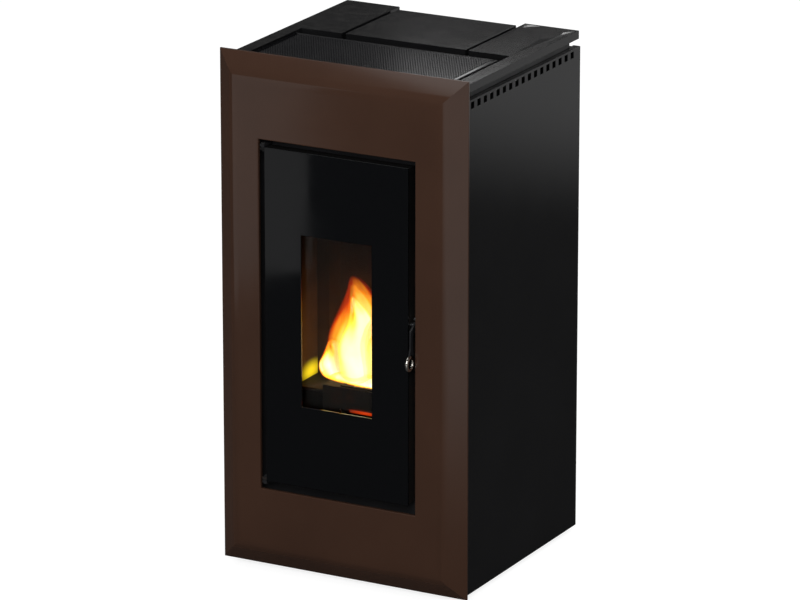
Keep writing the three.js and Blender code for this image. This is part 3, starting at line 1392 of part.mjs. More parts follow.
function roomFanHousing() {
  const half = ROOM_FAN_WIDTH / 2;
  const wall = ROOM_FAN_WALL;
  const ys = [roomFanFront, roomFanRear];
  const outside = centredBox(half, ys, [roomFanBottom, roomFanTop]);
  const inside = centredBox(
    half - wall,
    [ys[0] + wall, ys[1] - wall],
    [roomFanBottom + wall, roomFanTop - wall],
  );
  const margin = ROOM_MOUTH_MARGIN;
  const blowerZs = [roomFanZ + margin, roomFanTop - margin];
  const suctionZs = [roomFanBottom + margin, roomFanTop - 2 * margin];
  const blowerMouth = centredBox(half - margin, [ys[0] - PAST, ys[0] + wall + PAST], blowerZs);
  const suction = centredBox(half - margin, [ys[1] - wall - PAST, ys[1] + PAST], suctionZs);
  const bearings = rod('x', ROOM_SHAFT_RADIUS + GAP, [-half - 1, half + 1], [roomFanY, roomFanZ]);
  return cut(outside, inside, blowerMouth, suction, bearings);
}

/** Long cross-flow rotor: end and middle discs joined by a ring of blades. */
function roomFanRotor() {
  const half = ROOM_FAN_WIDTH / 2 - ROOM_ROTOR_END_GAP;
  const disc = ROOM_ROTOR_DISC;
  const discs = [-half, -disc / 2, half - disc].map((z) => (
    rod('z', ROOM_ROTOR_RADIUS, [z, z + disc], [0, 0])
  ));
  const bladeOuter = ROOM_ROTOR_RADIUS - disc / 2;
  const bladeZs = [-half + disc / 2, half - disc / 2];
  const blade = box([bladeOuter - ROOM_BLADE_DEPTH, bladeOuter], [-disc / 2, disc / 2], bladeZs);
  const shaft = rod('z', ROOM_SHAFT_RADIUS, [-half - ROOM_SHAFT_TAIL, half + ROOM_SHAFT_SEAT], [0, 0]);
  const rotor = join(...discs, shaft, ...spokes(blade, ROOM_ROTOR_BLADES));
  return along(rotor, 'x', [0, roomFanY, roomFanZ]);
}

function roomFanMotor() {
  const start = ROOM_FAN_WIDTH / 2 + GAP;
  const centre = [roomFanY, roomFanZ];
  const can = rod('x', ROOM_MOTOR_RADIUS, [start, start + ROOM_MOTOR_LENGTH], centre);
  const socket = rod('x', ROOM_SHAFT_RADIUS + GAP, [start - PAST, start + ROOM_MOTOR_SOCKET], centre);
  return cut(can, socket);
}

/** Duct that gathers the warm air over the firebox and hands it to the grille. */
function airHood() {
  const bottom = fireboxTop + GAP;
  const top = deckBottom - GAP;
  const lowYs = [fireboxFront + GAP, fireboxRear];
  const highYs = [frameRear + NECK_INSET, frameRear + NECK_INSET + HOOD_DEPTH];
  const lowX = fireboxHalf;
  const highX = HOOD_MOUTH_WIDTH / 2;
  const ring = (half, [y0, y1], z, inset) => (
    flatRing([-half + inset, half - inset], [y0 + inset, y1 - inset], z)
  );
  const shell = loft([
    ring(lowX, lowYs, bottom, 0),
    ring(highX, highYs, top, 0),
    ring(highX, highYs, top, HOOD_WALL),
    ring(lowX, lowYs, bottom, HOOD_WALL),
  ], true);
  const airInlet = centredBox(
    lowX - HOOD_INLET_MARGIN,
    [fireboxRear - HOOD_INLET_MARGIN, fireboxRear + HOOD_INLET_MARGIN],
    [bottom + HOOD_INLET_LIFT, bottom + HOOD_INLET_LIFT + HOOD_INLET_HEIGHT],
  );
  const flangeClearance = centredBox(
    fireboxHalf + FIREBOX_FLANGE + GAP,
    [0, fireboxFront + GAP / 2],
    [bottom - 1, fireboxTop + FIREBOX_FLANGE + GAP],
  );
  return cut(shell, airInlet, flangeClearance);
}

piece('room_fan_housing', roomFanHousing(), FINISH.steel);
piece('room_fan_rotor', roomFanRotor(), FINISH.steel);
piece('room_fan_motor', roomFanMotor(), FINISH.blackPaint);
piece('air_hood', airHood(), FINISH.steel);

// ---- Electrics -------------------------------------------------------------------------------

const inletRear = rearPanelRear + GAP + INLET_FLANGE_THICKNESS;
const rockerZ = INLET_Z + INLET_HEIGHT - ROCKER_DROP - ROCKER_HEIGHT / 2;

function powerInlet() {
  const half = INLET_WIDTH / 2;
  const body = box(
    [INLET_X - half, INLET_X + half],
    [rearPanelRear - INLET_DEPTH, inletRear],
    [INLET_Z, INLET_Z + INLET_HEIGHT],
  );
  const flange = box(
    [INLET_X - half - INLET_FLANGE, INLET_X + half + INLET_FLANGE],
    [rearPanelRear + GAP, inletRear],
    [INLET_Z - INLET_FLANGE, INLET_Z + INLET_HEIGHT + INLET_FLANGE],
  );
  const socketBottom = INLET_Z + SOCKET_LIFT;
  const socket = box(
    [INLET_X - SOCKET_HALF_WIDTH, INLET_X + SOCKET_HALF_WIDTH],
    [inletRear - SOCKET_DEPTH, inletRear + PAST],
    [socketBottom, socketBottom + SOCKET_HEIGHT],
  );
  const pins = [-1, 0, 1].map((column) => {
    const x = INLET_X + column * PIN_PITCH;
    const z = INLET_Z + PIN_LIFT + (column === 0 ? EARTH_PIN_LIFT : 0);
    return box(
      [x - PIN_WIDTH / 2, x + PIN_WIDTH / 2],
      [inletRear - SOCKET_DEPTH - PAST, inletRear - PIN_SETBACK],
      [z, z + PIN_HEIGHT],
    );
  });
  const rockerWell = box(
    [INLET_X - ROCKER_WIDTH / 2 - GAP, INLET_X + ROCKER_WIDTH / 2 + GAP],
    [inletRear - ROCKER_DEPTH - ROCKER_WELL_SPACE, inletRear + PAST],
    [rockerZ - ROCKER_HEIGHT / 2 - 1, rockerZ + ROCKER_HEIGHT / 2 + 1],
  );
  return join(cut(join(body, flange), socket, rockerWell), ...pins);
}

/** Rocker with a shallow V face, tilted to its off position in the well. */
function powerSwitch() {
  const half = ROCKER_HEIGHT / 2;
  const rear = inletRear + ROCKER_PROUD;
  const outline = new THREE.Shape([
    new THREE.Vector2(rear - ROCKER_DEPTH, rockerZ - half * 0.7),
    new THREE.Vector2(rear - ROCKER_DEPTH, rockerZ + half * 0.7),
    new THREE.Vector2(rear, rockerZ + half * 0.9),
    new THREE.Vector2(rear - ROCKER_DISH, rockerZ),
    new THREE.Vector2(rear, rockerZ - half * 0.9),
  ]);
  const axleY = rear - ROCKER_DEPTH / 2;
  const rocker = platesOnX(outline, [INLET_X - ROCKER_WIDTH / 2, INLET_X + ROCKER_WIDTH / 2]);
  return rocker.translate(0, -axleY, -rockerZ).rotateX(-ROCKER_TILT).translate(0, axleY, rockerZ);
}

const buttonRear = rearPanelRear + BUTTON_PROUD;

function safetyThermostat() {
  const rear = rearPanelFront - GAP;
  const centre = [THERMOSTAT_X, THERMOSTAT_Z];
  const can = rod('y', THERMOSTAT_RADIUS, [rear - THERMOSTAT_LENGTH, rear], centre);
  const boreFront = buttonRear - BUTTON_LENGTH - BUTTON_TRAVEL_SPACE;
  const bore = rod('y', BUTTON_RADIUS + GAP, [boreFront, rear + PAST], centre);
  return cut(can, bore);
}

function resetButton() {
  return rod('y', BUTTON_RADIUS, [buttonRear - BUTTON_LENGTH, buttonRear], [THERMOSTAT_X, THERMOSTAT_Z]);
}

/** Circuit board on four standoffs, with its transformer, relays and heat sink fitted. */
function controlBoard() {
  const wallX = -insideX;
  const boardX = wallX + BOARD_STANDOFF;
  const y0 = rearPanelFront - BOARD_REAR_GAP - BOARD_DEPTH;
  const z0 = exhaustZ;
  const face = boardX + BOARD_THICKNESS;
  const board = box([boardX, face], [y0, y0 + BOARD_DEPTH], [z0, z0 + BOARD_HEIGHT]);
  const inset = BOARD_HOLE_INSET;
  const standoffs = [inset, BOARD_DEPTH - inset].flatMap((dy) => [inset, BOARD_HEIGHT - inset].map((dz) => (
    rod('x', inset / 3, [wallX, boardX + 1], [y0 + dy, z0 + dz], 8)
  )));
  const relays = Array.from({ length: BOARD_RELAY.count }, (_, i) => (
    { ...BOARD_RELAY, dy: BOARD_RELAY.dy + i * BOARD_RELAY.pitch }
  ));
  const fitted = [BOARD_TRANSFORMER, ...relays, BOARD_HEAT_SINK].map(({ dy, dz, size }) => box(
    [face - 1, face + size[0]],
    [y0 + dy, y0 + dy + size[1]],
    [z0 + dz, z0 + dz + size[2]],
  ));
  return join(board, ...standoffs, ...fitted);
}

piece('control_board', controlBoard(), FINISH.circuit);
piece('power_inlet', powerInlet(), FINISH.plastic);
piece('power_switch', powerSwitch(), FINISH.redPlastic);
piece('safety_thermostat', safetyThermostat(), FINISH.plastic);
piece('reset_button', resetButton(), FINISH.redPlastic);

// ---- Fire door -------------------------------------------------------------------------------

/** Upright ring of the door frame, a given distance in from its outer edge. */
function doorRing(inset, y) {
  return uprightRing(doorFrameHalf - inset, [doorFrameBottom + inset, doorFrameTop - inset], y);
}

/** Upright ring that follows the window, widened by a margin. */
function windowRing(widen, y) {
  return uprightRing(windowHalf + widen, [windowBottom - widen, windowTop + widen], y);
}

/** Hinge lug of the door frame: round the pin, then back behind the glass to the frame. */
function hingeLug(bottom) {
  const heights = [bottom, bottom + HINGE_LUG];
  const left = hingeX - HINGE_LUG_RADIUS;
  const rear = hingeY + HINGE_LUG_REACH;
  const ear = box([left, hingeX + HINGE_LUG_RADIUS], [hingeY - HINGE_LUG_RADIUS, rear], heights);
  const arm = box([left, -doorFrameHalf + SEAL_GROOVE_WALL - 1], [doorFrameFront + 1, rear], heights);
  return join(ear, arm);
}

function doorFrame() {
  const grooveInset = DOOR_FRAME_BAR - SEAL_GROOVE_WALL;
  const plateRear = doorFrameFront + DOOR_FRAME_PLATE;
  const body = loft([
    doorRing(0, doorFrameFront),
    doorRing(0, doorFrameRear),
    doorRing(SEAL_GROOVE_WALL, doorFrameRear),
    doorRing(SEAL_GROOVE_WALL, grooveFloor),
    doorRing(grooveInset, grooveFloor),
    doorRing(grooveInset, doorFrameRear),
    doorRing(DOOR_FRAME_BAR, doorFrameRear),
    doorRing(DOOR_FRAME_BAR, plateRear),
    windowRing(WINDOW_REBATE, plateRear),
    windowRing(WINDOW_REBATE, doorFrameFront),
  ], true);
  const lugs = [doorFrameBottom, doorFrameTop - HINGE_LUG].map(hingeLug);
  const pinHole = rod('z', HINGE_PIN_RADIUS + GAP, [doorFrameBottom - 1, doorFrameTop + 1], [hingeX, hingeY]);
  const leverHole = rod(
    'x',
    LEVER_PIN_RADIUS + GAP,
    [doorFrameHalf - LEVER_PIN_SEAT - PAST / 2, doorFrameHalf + PAST],
    [leverPivotY, leverPivotZ],
  );
  return cut(join(body, ...lugs), pinHole, leverHole);
}

function doorGlass() {
  const pane = centredBox(glassHalf, [glassFront, glassRear], [glassBottom, glassTop]);
  const opening = centredBox(windowHalf, [glassFront - 1, glassRear + 1], [windowBottom, windowTop]);
  return cut(pane, opening);
}

/** Clear pane clamped behind the window. */
function fireGlass() {
  const front = doorFrameFront + DOOR_FRAME_PLATE + GAP;
  return centredBox(
    windowHalf + PANE_OVERLAP,
    [front, front + GLASS_THICKNESS],
    [windowBottom - PANE_OVERLAP, windowTop + PANE_OVERLAP],
  );
}

/** Rope seal pressed into the groove round the door frame, with an eight-sided section. */
function doorSeal() {
  const inset = SEAL_GROOVE_WALL + GAP;
  const width = DOOR_FRAME_BAR - 2 * inset;
  const front = grooveFloor + GAP;
  const rear = flangeFront - GAP;
  const corner = SEAL_CORNER;
  const section = [
    [inset, front + corner],
    [inset, rear - corner],
    [inset + corner, rear],
    [inset + width - corner, rear],
    [inset + width, rear - corner],
    [inset + width, front + corner],
    [inset + width - corner, front],
    [inset + corner, front],
  ];
  return loft(section.map(([depth, y]) => doorRing(depth, y)), true);
}

/** Hinge pin with a shoulder that spaces the lug from the arm, and a head outside the arm. */
function hingePin(upper) {
  const way = upper ? 1 : -1;
  const lugFace = upper ? doorFrameTop : doorFrameBottom;
  const armNear = upper ? hingeArmUpper : hingeArmLower + HINGE_LUG;
  const armFar = armNear + way * HINGE_LUG;
  const at = [hingeX, hingeY];
  const rim = HINGE_PIN_RADIUS + PIN_HEAD_RIM;
  const headEnd = armFar + way * (GAP + PIN_HEAD_HEIGHT);
  const shaft = rod('z', HINGE_PIN_RADIUS, [lugFace - way * (HINGE_LUG + PIN_TAIL), headEnd], at);
  const shoulder = rod('z', rim, [lugFace + way * GAP, armNear - way * GAP], at);
  const head = rod('z', rim, [armFar + way * GAP, headEnd], at);
  return join(shaft, shoulder, head);
}

piece('door_frame', doorFrame(), FINISH.castIron);
piece('door_glass', doorGlass(), FINISH.blackGlass);
piece('fire_glass', fireGlass(), FINISH.clearGlass);
piece('door_seal', doorSeal(), FINISH.rope);
piece('hinge_pin_upper', hingePin(true), FINISH.steel);
piece('hinge_pin_lower', hingePin(false), FINISH.steel);

// ---- Door lever ------------------------------------------------------------------------------

const leverXs = [leverX, leverX + LEVER_THICKNESS];
const ringOuter = RING_RADIUS + RING_HALF_WIDTH;

/** Flat lever: a boss on its pin, a hook behind it, and a slim bar down to the pull ring. */
function doorLever() {
  const barFront = ringY + 1;
  const barRear = barFront + LEVER_BAR_WIDTH;
  const bendZ = leverPivotZ - LEVER_BEND_DROP;
  const flareZ = ringZ + LEVER_FLARE_RISE;
  const outline = new THREE.Shape([
    new THREE.Vector2(barFront - 7, ringZ + 6),
    new THREE.Vector2(barRear + 7, ringZ + 4),
    new THREE.Vector2(barRear + 5, ringZ + LEVER_FLARE_RISE / 2),
    new THREE.Vector2(barRear, flareZ),
    new THREE.Vector2(barRear, bendZ),
    new THREE.Vector2(leverPivotY + 3, leverPivotZ - 5),
    new THREE.Vector2(leverPivotY - 3, leverPivotZ + 5.5),
    new THREE.Vector2(barFront, bendZ + 9),
    new THREE.Vector2(barFront, flareZ),
    new THREE.Vector2(barFront - 4, ringZ + LEVER_FLARE_RISE / 2),
  ]);
  const bar = platesOnX(outline, leverXs);
  const boss = rod('x', LEVER_BOSS_RADIUS, leverXs, [leverPivotY, leverPivotZ]);
  const rootZs = [leverPivotZ + 2 - HOOK_ROOT_DEPTH, leverPivotZ + 2];
  const hookRoot = box(leverXs, [leverPivotY, leverPivotY + HOOK_REACH], rootZs);
  const finger = box(
    leverXs,
    [leverPivotY + HOOK_REACH - HOOK_FINGER, leverPivotY + HOOK_REACH],
    [leverPivotZ, leverPivotZ + HOOK_RISE],
  );
  const ringSeat = rod(
    'x',
    ringOuter + GAP,
    [leverXs[0] - 1, leverXs[1] + 1],
    [ringY, ringZ],
    2 * SIDES,
  );
  const holeXs = [leverXs[0] - PAST, leverXs[1] + PAST];
  const pinHole = rod('x', LEVER_PIN_RADIUS + GAP, holeXs, [leverPivotY, leverPivotZ]);
  return cut(join(bar, boss, hookRoot, finger), ringSeat, pinHole);
}

/** Polished pull ring with a rounded section. */
function leverRing() {
  const profile = Array.from({ length: 9 }, (_, i) => {
    const turn = (i % 8) * (Math.PI / 4);
    return [RING_RADIUS + RING_HALF_WIDTH * Math.cos(turn), RING_HALF_THICKNESS * Math.sin(turn)];
  });
  return turned('x', profile, [leverX + LEVER_THICKNESS / 2, ringY, ringZ]);
}

function leverPin() {
  const at = [leverPivotY, leverPivotZ];
  const rim = LEVER_PIN_RADIUS + PIN_HEAD_RIM;
  const headXs = [leverXs[1] + GAP, leverXs[1] + GAP + PIN_HEAD_HEIGHT];
  const shaft = rod('x', LEVER_PIN_RADIUS, [doorFrameHalf - LEVER_PIN_SEAT, headXs[1]], at);
  const shoulder = rod('x', rim, [doorFrameHalf + GAP, leverXs[0] - GAP], at);
  const head = rod('x', rim, headXs, at);
  return join(shaft, shoulder, head);
}

/** Catch on the front frame, its rounded lip over the lever's hook. */
function latchCatch() {
  const left = leverXs[0] - CATCH_SIDE_REACH;
  const xs = [left, left + CATCH_WIDTH];
  const lipY = leverPivotY + HOOK_REACH - CATCH_LIP_SETBACK;
  const lipZ = leverPivotZ + HOOK_RISE + GAP + CATCH_LIP;
  const armZs = [lipZ - CATCH_LIP / 2, lipZ + CATCH_LIP];
  const baseRear = frameFront - GAP;
  const baseZs = [leverPivotZ - CATCH_BASE_DROP, armZs[1] + CATCH_BASE_RISE];
  const base = box(xs, [baseRear - CATCH_BASE_THICKNESS, baseRear], baseZs);
  const arm = box(xs, [lipY, baseRear - CATCH_BASE_THICKNESS / 2], armZs);
  const lip = rod('x', CATCH_LIP, xs, [lipY, lipZ]);
  return join(base, arm, lip);
}

piece('door_lever', doorLever(), FINISH.blackPaint);
piece('lever_ring', leverRing(), FINISH.polishedSteel);
piece('lever_pin', leverPin(), FINISH.steel);
piece('latch_catch', latchCatch(), FINISH.steel);

// ---- Centre the stove over the origin ----------------------------------------------------------

const foremost = ringY - ringOuter;
stove.position.y = -(foremost + flueRear) / 2;

export default stove;
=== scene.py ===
"""Finishes, fine meshes, fire and studio for the pellet stove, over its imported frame.

Every size is in metres, in the frame's own axes: +X right, +Y to the rear, +Z up, floor at z = 0.
"""

import json
import logging
import math
from dataclasses import dataclass, field
from enum import Enum
from typing import Sequence

import bmesh
import bpy
import numpy as np
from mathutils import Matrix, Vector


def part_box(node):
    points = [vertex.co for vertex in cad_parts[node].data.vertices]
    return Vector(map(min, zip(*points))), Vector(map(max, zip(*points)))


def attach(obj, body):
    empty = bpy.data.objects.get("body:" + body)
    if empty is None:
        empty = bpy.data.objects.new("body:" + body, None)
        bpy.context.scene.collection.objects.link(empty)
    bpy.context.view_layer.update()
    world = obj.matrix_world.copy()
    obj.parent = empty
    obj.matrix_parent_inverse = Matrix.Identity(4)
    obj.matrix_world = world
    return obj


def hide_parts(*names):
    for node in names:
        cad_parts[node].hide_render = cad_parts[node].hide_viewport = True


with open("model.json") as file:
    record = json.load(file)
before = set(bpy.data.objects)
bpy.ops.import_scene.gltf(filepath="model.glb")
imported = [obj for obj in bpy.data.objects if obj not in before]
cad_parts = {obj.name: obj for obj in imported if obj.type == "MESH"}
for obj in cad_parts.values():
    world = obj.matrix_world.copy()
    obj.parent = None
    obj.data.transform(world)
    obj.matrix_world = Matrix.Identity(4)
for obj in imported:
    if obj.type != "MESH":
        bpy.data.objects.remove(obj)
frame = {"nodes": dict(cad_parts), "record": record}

LOG = logging.getLogger("pellet_stove")
MM = 0.001
TOLERANCE = 1e-6
Vec = tuple[float, float, float]
Colour = tuple[float, float, float, float]
BLACK: Colour = (0.0, 0.0, 0.0, 1.0)
WHITE: Colour = (1.0, 1.0, 1.0, 1.0)
Node = bpy.types.Node
Socket = bpy.types.NodeSocket


# ----------------------------------------------------------------------------------------------
# Colour and shader helpers
# ----------------------------------------------------------------------------------------------


def srgb(red: float, green: float, blue: float) -> Colour:
    """Linear colour of an 8-bit screen colour.

    Args:
        red, green, blue: screen values from 0 to 255.

    Returns:
        The linear colour, with alpha 1.
    """
    parts = np.array([red, green, blue]) / 255.0
    linear = np.where(parts <= 0.04045, parts / 12.92, ((parts + 0.055) / 1.055) ** 2.4)
    return (float(linear[0]), float(linear[1]), float(linear[2]), 1.0)


def shaded(colour: Colour, factor: float) -> Colour:
    """A linear colour made lighter or darker by a factor, and held below 1."""
    return tuple(min(1.0, part * factor) for part in colour[:3]) + (1.0,)


class Space(Enum):
    """Which coordinates a pattern follows."""

    OBJECT = "Object"
    UV = "UV"


class Graph:
    """A thin wrapper round a node tree that adds and links nodes in one line each."""

    def __init__(self, tree: bpy.types.NodeTree) -> None:
        """Keeps the tree that nodes are added to."""
        self.tree = tree

    def add(self, kind: str, **settings: object) -> Node:
        """Adds a node.

        Args:
            kind: the node's type name.
            settings: properties of the node, set by name.

        Returns:
            The new node.
        """
        node = self.tree.nodes.new(kind)
        for name, value in settings.items():
            setattr(node, name, value)
        return node

    def feed(self, node: Node, socket: str | int, source: object) -> None:
        """Sets a socket to a value, or links it when the source is another socket."""
        target = node.inputs[socket]
        if isinstance(source, Socket):
            self.tree.links.new(source, target)
        else:
            target.default_value = source

    def maths(self, operation: str, first: object, second: object = 0.0, third: object = 0.0) -> Socket:
        """One arithmetic step on up to three values or sockets."""
        node = self.add("ShaderNodeMath", operation=operation)
        for index, value in enumerate((first, second, third)):
            self.feed(node, index, value)
        return node.outputs[0]

    def mix(self, mask: object, first: object, second: object) -> Socket:
        """Colour that goes from the first to the second as the mask goes from 0 to 1."""
        node = self.add("ShaderNodeMix", data_type="RGBA")
        self.feed(node, 0, mask)
        self.feed(node, 6, first)
        self.feed(node, 7, second)
        return node.outputs[2]

    def spread(
        self, value: object, low: float, high: float, to_low: float = 0.0, to_high: float = 1.0
    ) -> Socket:
        """Value carried from one range to another and held at its ends."""
        node = self.add("ShaderNodeMapRange", clamp=True)
        for index, part in enumerate((value, low, high, to_low, to_high)):
            self.feed(node, index, part)
        return node.outputs[0]

    def noise(self, vector: object, scale: object, detail: float = 3.0, roughness: float = 0.5) -> Socket:
        """Fractal noise from 0 to 1 at a vector."""
        node = self.add("ShaderNodeTexNoise")
        self.feed(node, "Vector", vector)
        self.feed(node, "Scale", scale)
        self.feed(node, "Detail", detail)
        self.feed(node, "Roughness", roughness)
        return node.outputs["Fac"]

    def coordinates(self, space: Space) -> Socket:
        """The object's own coordinates or its UV map."""
        return self.add("ShaderNodeTexCoord").outputs[space.value]


def group(
    name: str, inputs: Sequence[tuple[str, str, object]], outputs: Sequence[tuple[str, str]]
) -> tuple[Graph, Node, Node]:
    """Starts a shader node group with named sockets.

    Args:
        name: the group's name.
        inputs: name, socket type and default of each input.
        outputs: name and socket type of each output.

    Returns:
        The group's graph, its input node and its output node.
    """
    tree = bpy.data.node_groups.new(name, "ShaderNodeTree")
    for label, kind, default in inputs:
        socket = tree.interface.new_socket(name=label, in_out="INPUT", socket_type=kind)
        if default is not None:
            socket.default_value = default
    for label, kind in outputs:
        tree.interface.new_socket(name=label, in_out="OUTPUT", socket_type=kind)
    graph = Graph(tree)
    return graph, graph.add("NodeGroupInput"), graph.add("NodeGroupOutput")


FLOAT = "NodeSocketFloat"
VECTOR = "NodeSocketVector"


class Effect(Enum):
    """Surface effects that several finishes share."""

    GRAIN = "coat_grain"
    DUST = "settled_dust"
    SOOT = "soot_and_heat"
    SPANGLE = "zinc_spangle"
    PAINTED_GLOW = "painted_fire_glow"


def build_grain() -> None:
    """Fine dimples of a sprayed or cast coat over slow unevenness, as a height from 0 to 1."""
    graph, given, out = group(
        Effect.GRAIN.value,
        [
            ("Vector", VECTOR, None), ("Fineness", FLOAT, 900.0),
            ("Waviness", FLOAT, 40.0), ("Share", FLOAT, 0.5),
        ],
        [("Height", FLOAT), ("Blotch", FLOAT)],
    )
    fine = graph.noise(given.outputs["Vector"], given.outputs["Fineness"], 2.0)
    wavy = graph.noise(given.outputs["Vector"], given.outputs["Waviness"], 2.0)
    share = given.outputs["Share"]
    kept = graph.maths("MULTIPLY", fine, share)
    rest = graph.maths("MULTIPLY", wavy, graph.maths("SUBTRACT", 1.0, share))
    graph.feed(out, "Height", graph.maths("ADD", kept, rest))
    graph.feed(out, "Blotch", graph.spread(graph.noise(given.outputs["Vector"], 7.0, 4.0), 0.3, 0.7))


def build_dust() -> None:
    """Dust that settles where a surface faces up, broken up by noise."""
    graph, given, out = group(
        Effect.DUST.value, [("Vector", VECTOR, None), ("Amount", FLOAT, 0.3)], [("Mask", FLOAT)]
    )
    normal = graph.add("ShaderNodeNewGeometry").outputs["Normal"]
    parts = graph.add("ShaderNodeSeparateXYZ")
    graph.feed(parts, 0, normal)
    upward = graph.spread(parts.outputs["Z"], 0.6, 1.0)
    patch = graph.spread(graph.noise(given.outputs["Vector"], 60.0, 5.0, 0.65), 0.42, 0.7)
    mask = graph.maths("MULTIPLY", graph.maths("MULTIPLY", upward, patch), given.outputs["Amount"])
    graph.feed(out, "Mask", mask)


def build_soot() -> None:
    """Soot that thickens with height above a level, with uneven edges."""
    graph, given, out = group(
        Effect.SOOT.value,
        [
            ("Vector", VECTOR, None), ("Start", FLOAT, 0.35),
            ("End", FLOAT, 0.7), ("Patchiness", FLOAT, 0.4),
        ],
        [("Mask", FLOAT)],
    )
    parts = graph.add("ShaderNodeSeparateXYZ")
    graph.feed(parts, 0, given.outputs["Vector"])
    uneven = graph.maths("SUBTRACT", graph.noise(given.outputs["Vector"], 14.0, 5.0, 0.6), 0.5)
    height = graph.maths("MULTIPLY_ADD", uneven, given.outputs["Patchiness"], parts.outputs["Z"])
    ramp = graph.add("ShaderNodeMapRange", clamp=True, interpolation_type="SMOOTHSTEP")
    graph.feed(ramp, 0, height)
    graph.feed(ramp, 1, given.outputs["Start"])
    graph.feed(ramp, 2, given.outputs["End"])
    graph.feed(out, "Mask", ramp.outputs[0])


def build_spangle() -> None:
    """Crystal grains of a zinc coat: one flat value for each irregular cell."""
    graph, given, out = group(
        Effect.SPANGLE.value, [("Vector", VECTOR, None), ("Fineness", FLOAT, 110.0)], [("Value", FLOAT)]
    )
    bent = graph.add("ShaderNodeVectorMath", operation="MULTIPLY_ADD")
    warp = graph.add("ShaderNodeTexNoise")
    graph.feed(warp, "Vector", given.outputs["Vector"])
    graph.feed(warp, "Scale", 60.0)
    graph.feed(bent, 0, warp.outputs["Color"])
    graph.feed(bent, 1, (0.006, 0.006, 0.006))
    graph.feed(bent, 2, given.outputs["Vector"])
    cells = graph.add("ShaderNodeTexVoronoi")
    graph.feed(cells, "Vector", bent.outputs[0])
    graph.feed(cells, "Scale", given.outputs["Fineness"])
    grey = graph.add("ShaderNodeSeparateColor")
    graph.feed(grey, 0, cells.outputs["Color"])
    graph.feed(out, "Value", grey.outputs[0])


def build_painted_glow() -> None:
    """Soft ellipsoid of painted light round a centre: 1 in the middle, 0 at the given radii."""
    graph, given, out = group(
        Effect.PAINTED_GLOW.value,
        [
            ("Vector", VECTOR, None), ("Centre", VECTOR, (0.0, 0.0, 0.0)),
            ("Radii", VECTOR, (0.1, 0.1, 0.1)),
        ],
        [("Mask", FLOAT)],
    )
    offset = graph.add("ShaderNodeVectorMath", operation="SUBTRACT")
    graph.feed(offset, 0, given.outputs["Vector"])
    graph.feed(offset, 1, given.outputs["Centre"])
    scaled = graph.add("ShaderNodeVectorMath", operation="DIVIDE")
    graph.feed(scaled, 0, offset.outputs[0])
    graph.feed(scaled, 1, given.outputs["Radii"])
    length = graph.add("ShaderNodeVectorMath", operation="LENGTH")
    graph.feed(length, 0, scaled.outputs[0])
    ramp = graph.add("ShaderNodeMapRange", clamp=True, interpolation_type="SMOOTHSTEP")
    graph.feed(ramp, 0, length.outputs["Value"])
    graph.feed(ramp, 1, 1.0)
    graph.feed(ramp, 2, 0.0)
    graph.feed(out, "Mask", ramp.outputs[0])


def build_effects() -> None:
    """Builds every shared effect once."""
    for build in (build_grain, build_dust, build_soot, build_spangle, build_painted_glow):
        build()


# ----------------------------------------------------------------------------------------------
# Finishes
# ----------------------------------------------------------------------------------------------


@dataclass(frozen=True)
class PaintedGlow:
    """A soft patch of painted light on a surface, shown as emission."""

    centre: Vec = (0.0, 0.0, 0.0)
    radii: Vec = (0.001, 0.001, 0.001)
    colour: Colour = (1.0, 0.45, 0.08, 1.0)
    strength: float = 0.0


@dataclass(frozen=True)
class Finish:
    """A finish: its name, the record's slot, its colour and its plain gloss values."""

    name: str
    slot: str
    colour: Colour
    roughness: float = 0.5
    space: Space = Space.OBJECT

    def material(self) -> bpy.types.Material:
        """The finish's material, made the first time it is asked for."""
        label = f"{self.name}_finish"
        known = bpy.data.materials.get(label)
        if known is not None:
            return known
        material = bpy.data.materials.new(label)
        material.use_nodes = True
        graph = Graph(material.node_tree)
        shader = material.node_tree.nodes["Principled BSDF"]
        graph.feed(shader, "Base Color", self.colour)
        graph.feed(shader, "Roughness", self.roughness)
        self.dress(graph, shader, graph.coordinates(self.space))
        return material

    def dress(self, graph: Graph, shader: Node, vector: Socket) -> None:
        """Adds the finish's own detail to its shader."""

    def effect(
        self, graph: Graph, effect: Effect, vector: Socket, **values: object
    ) -> Node:
        """Places a shared effect in the material.

        Args:
            graph: the material's graph.
            effect: which effect.
            vector: the coordinates that it follows.
            values: its named inputs.

        Returns:
            The group node.
        """
        node = graph.add("ShaderNodeGroup", node_tree=bpy.data.node_groups[effect.value])
        graph.feed(node, "Vector", vector)
        for name, value in values.items():
            graph.feed(node, name, value)
        return node

    def warm(self, graph: Graph, shader: Node, vector: Socket, glow: PaintedGlow) -> None:
        """Paints a soft patch of fire light into the surface as emission, where fire is behind or against
        it.
        """
        patch = self.effect(graph, Effect.PAINTED_GLOW, vector, Centre=glow.centre, Radii=glow.radii)
        colour = graph.mix(patch.outputs["Mask"], BLACK, glow.colour)
        graph.feed(shader, "Emission Color", colour)
        graph.feed(shader, "Emission Strength", glow.strength)

    def bump(self, graph: Graph, shader: Node, height: object, distance: float) -> None:
        """Feeds a height into the shader's normal through a bump."""
        node = graph.add("ShaderNodeBump")
        graph.feed(node, "Strength", 1.0)
        graph.feed(node, "Distance", distance)
        graph.feed(node, "Height", height)
        graph.feed(shader, "Normal", node.outputs[0])


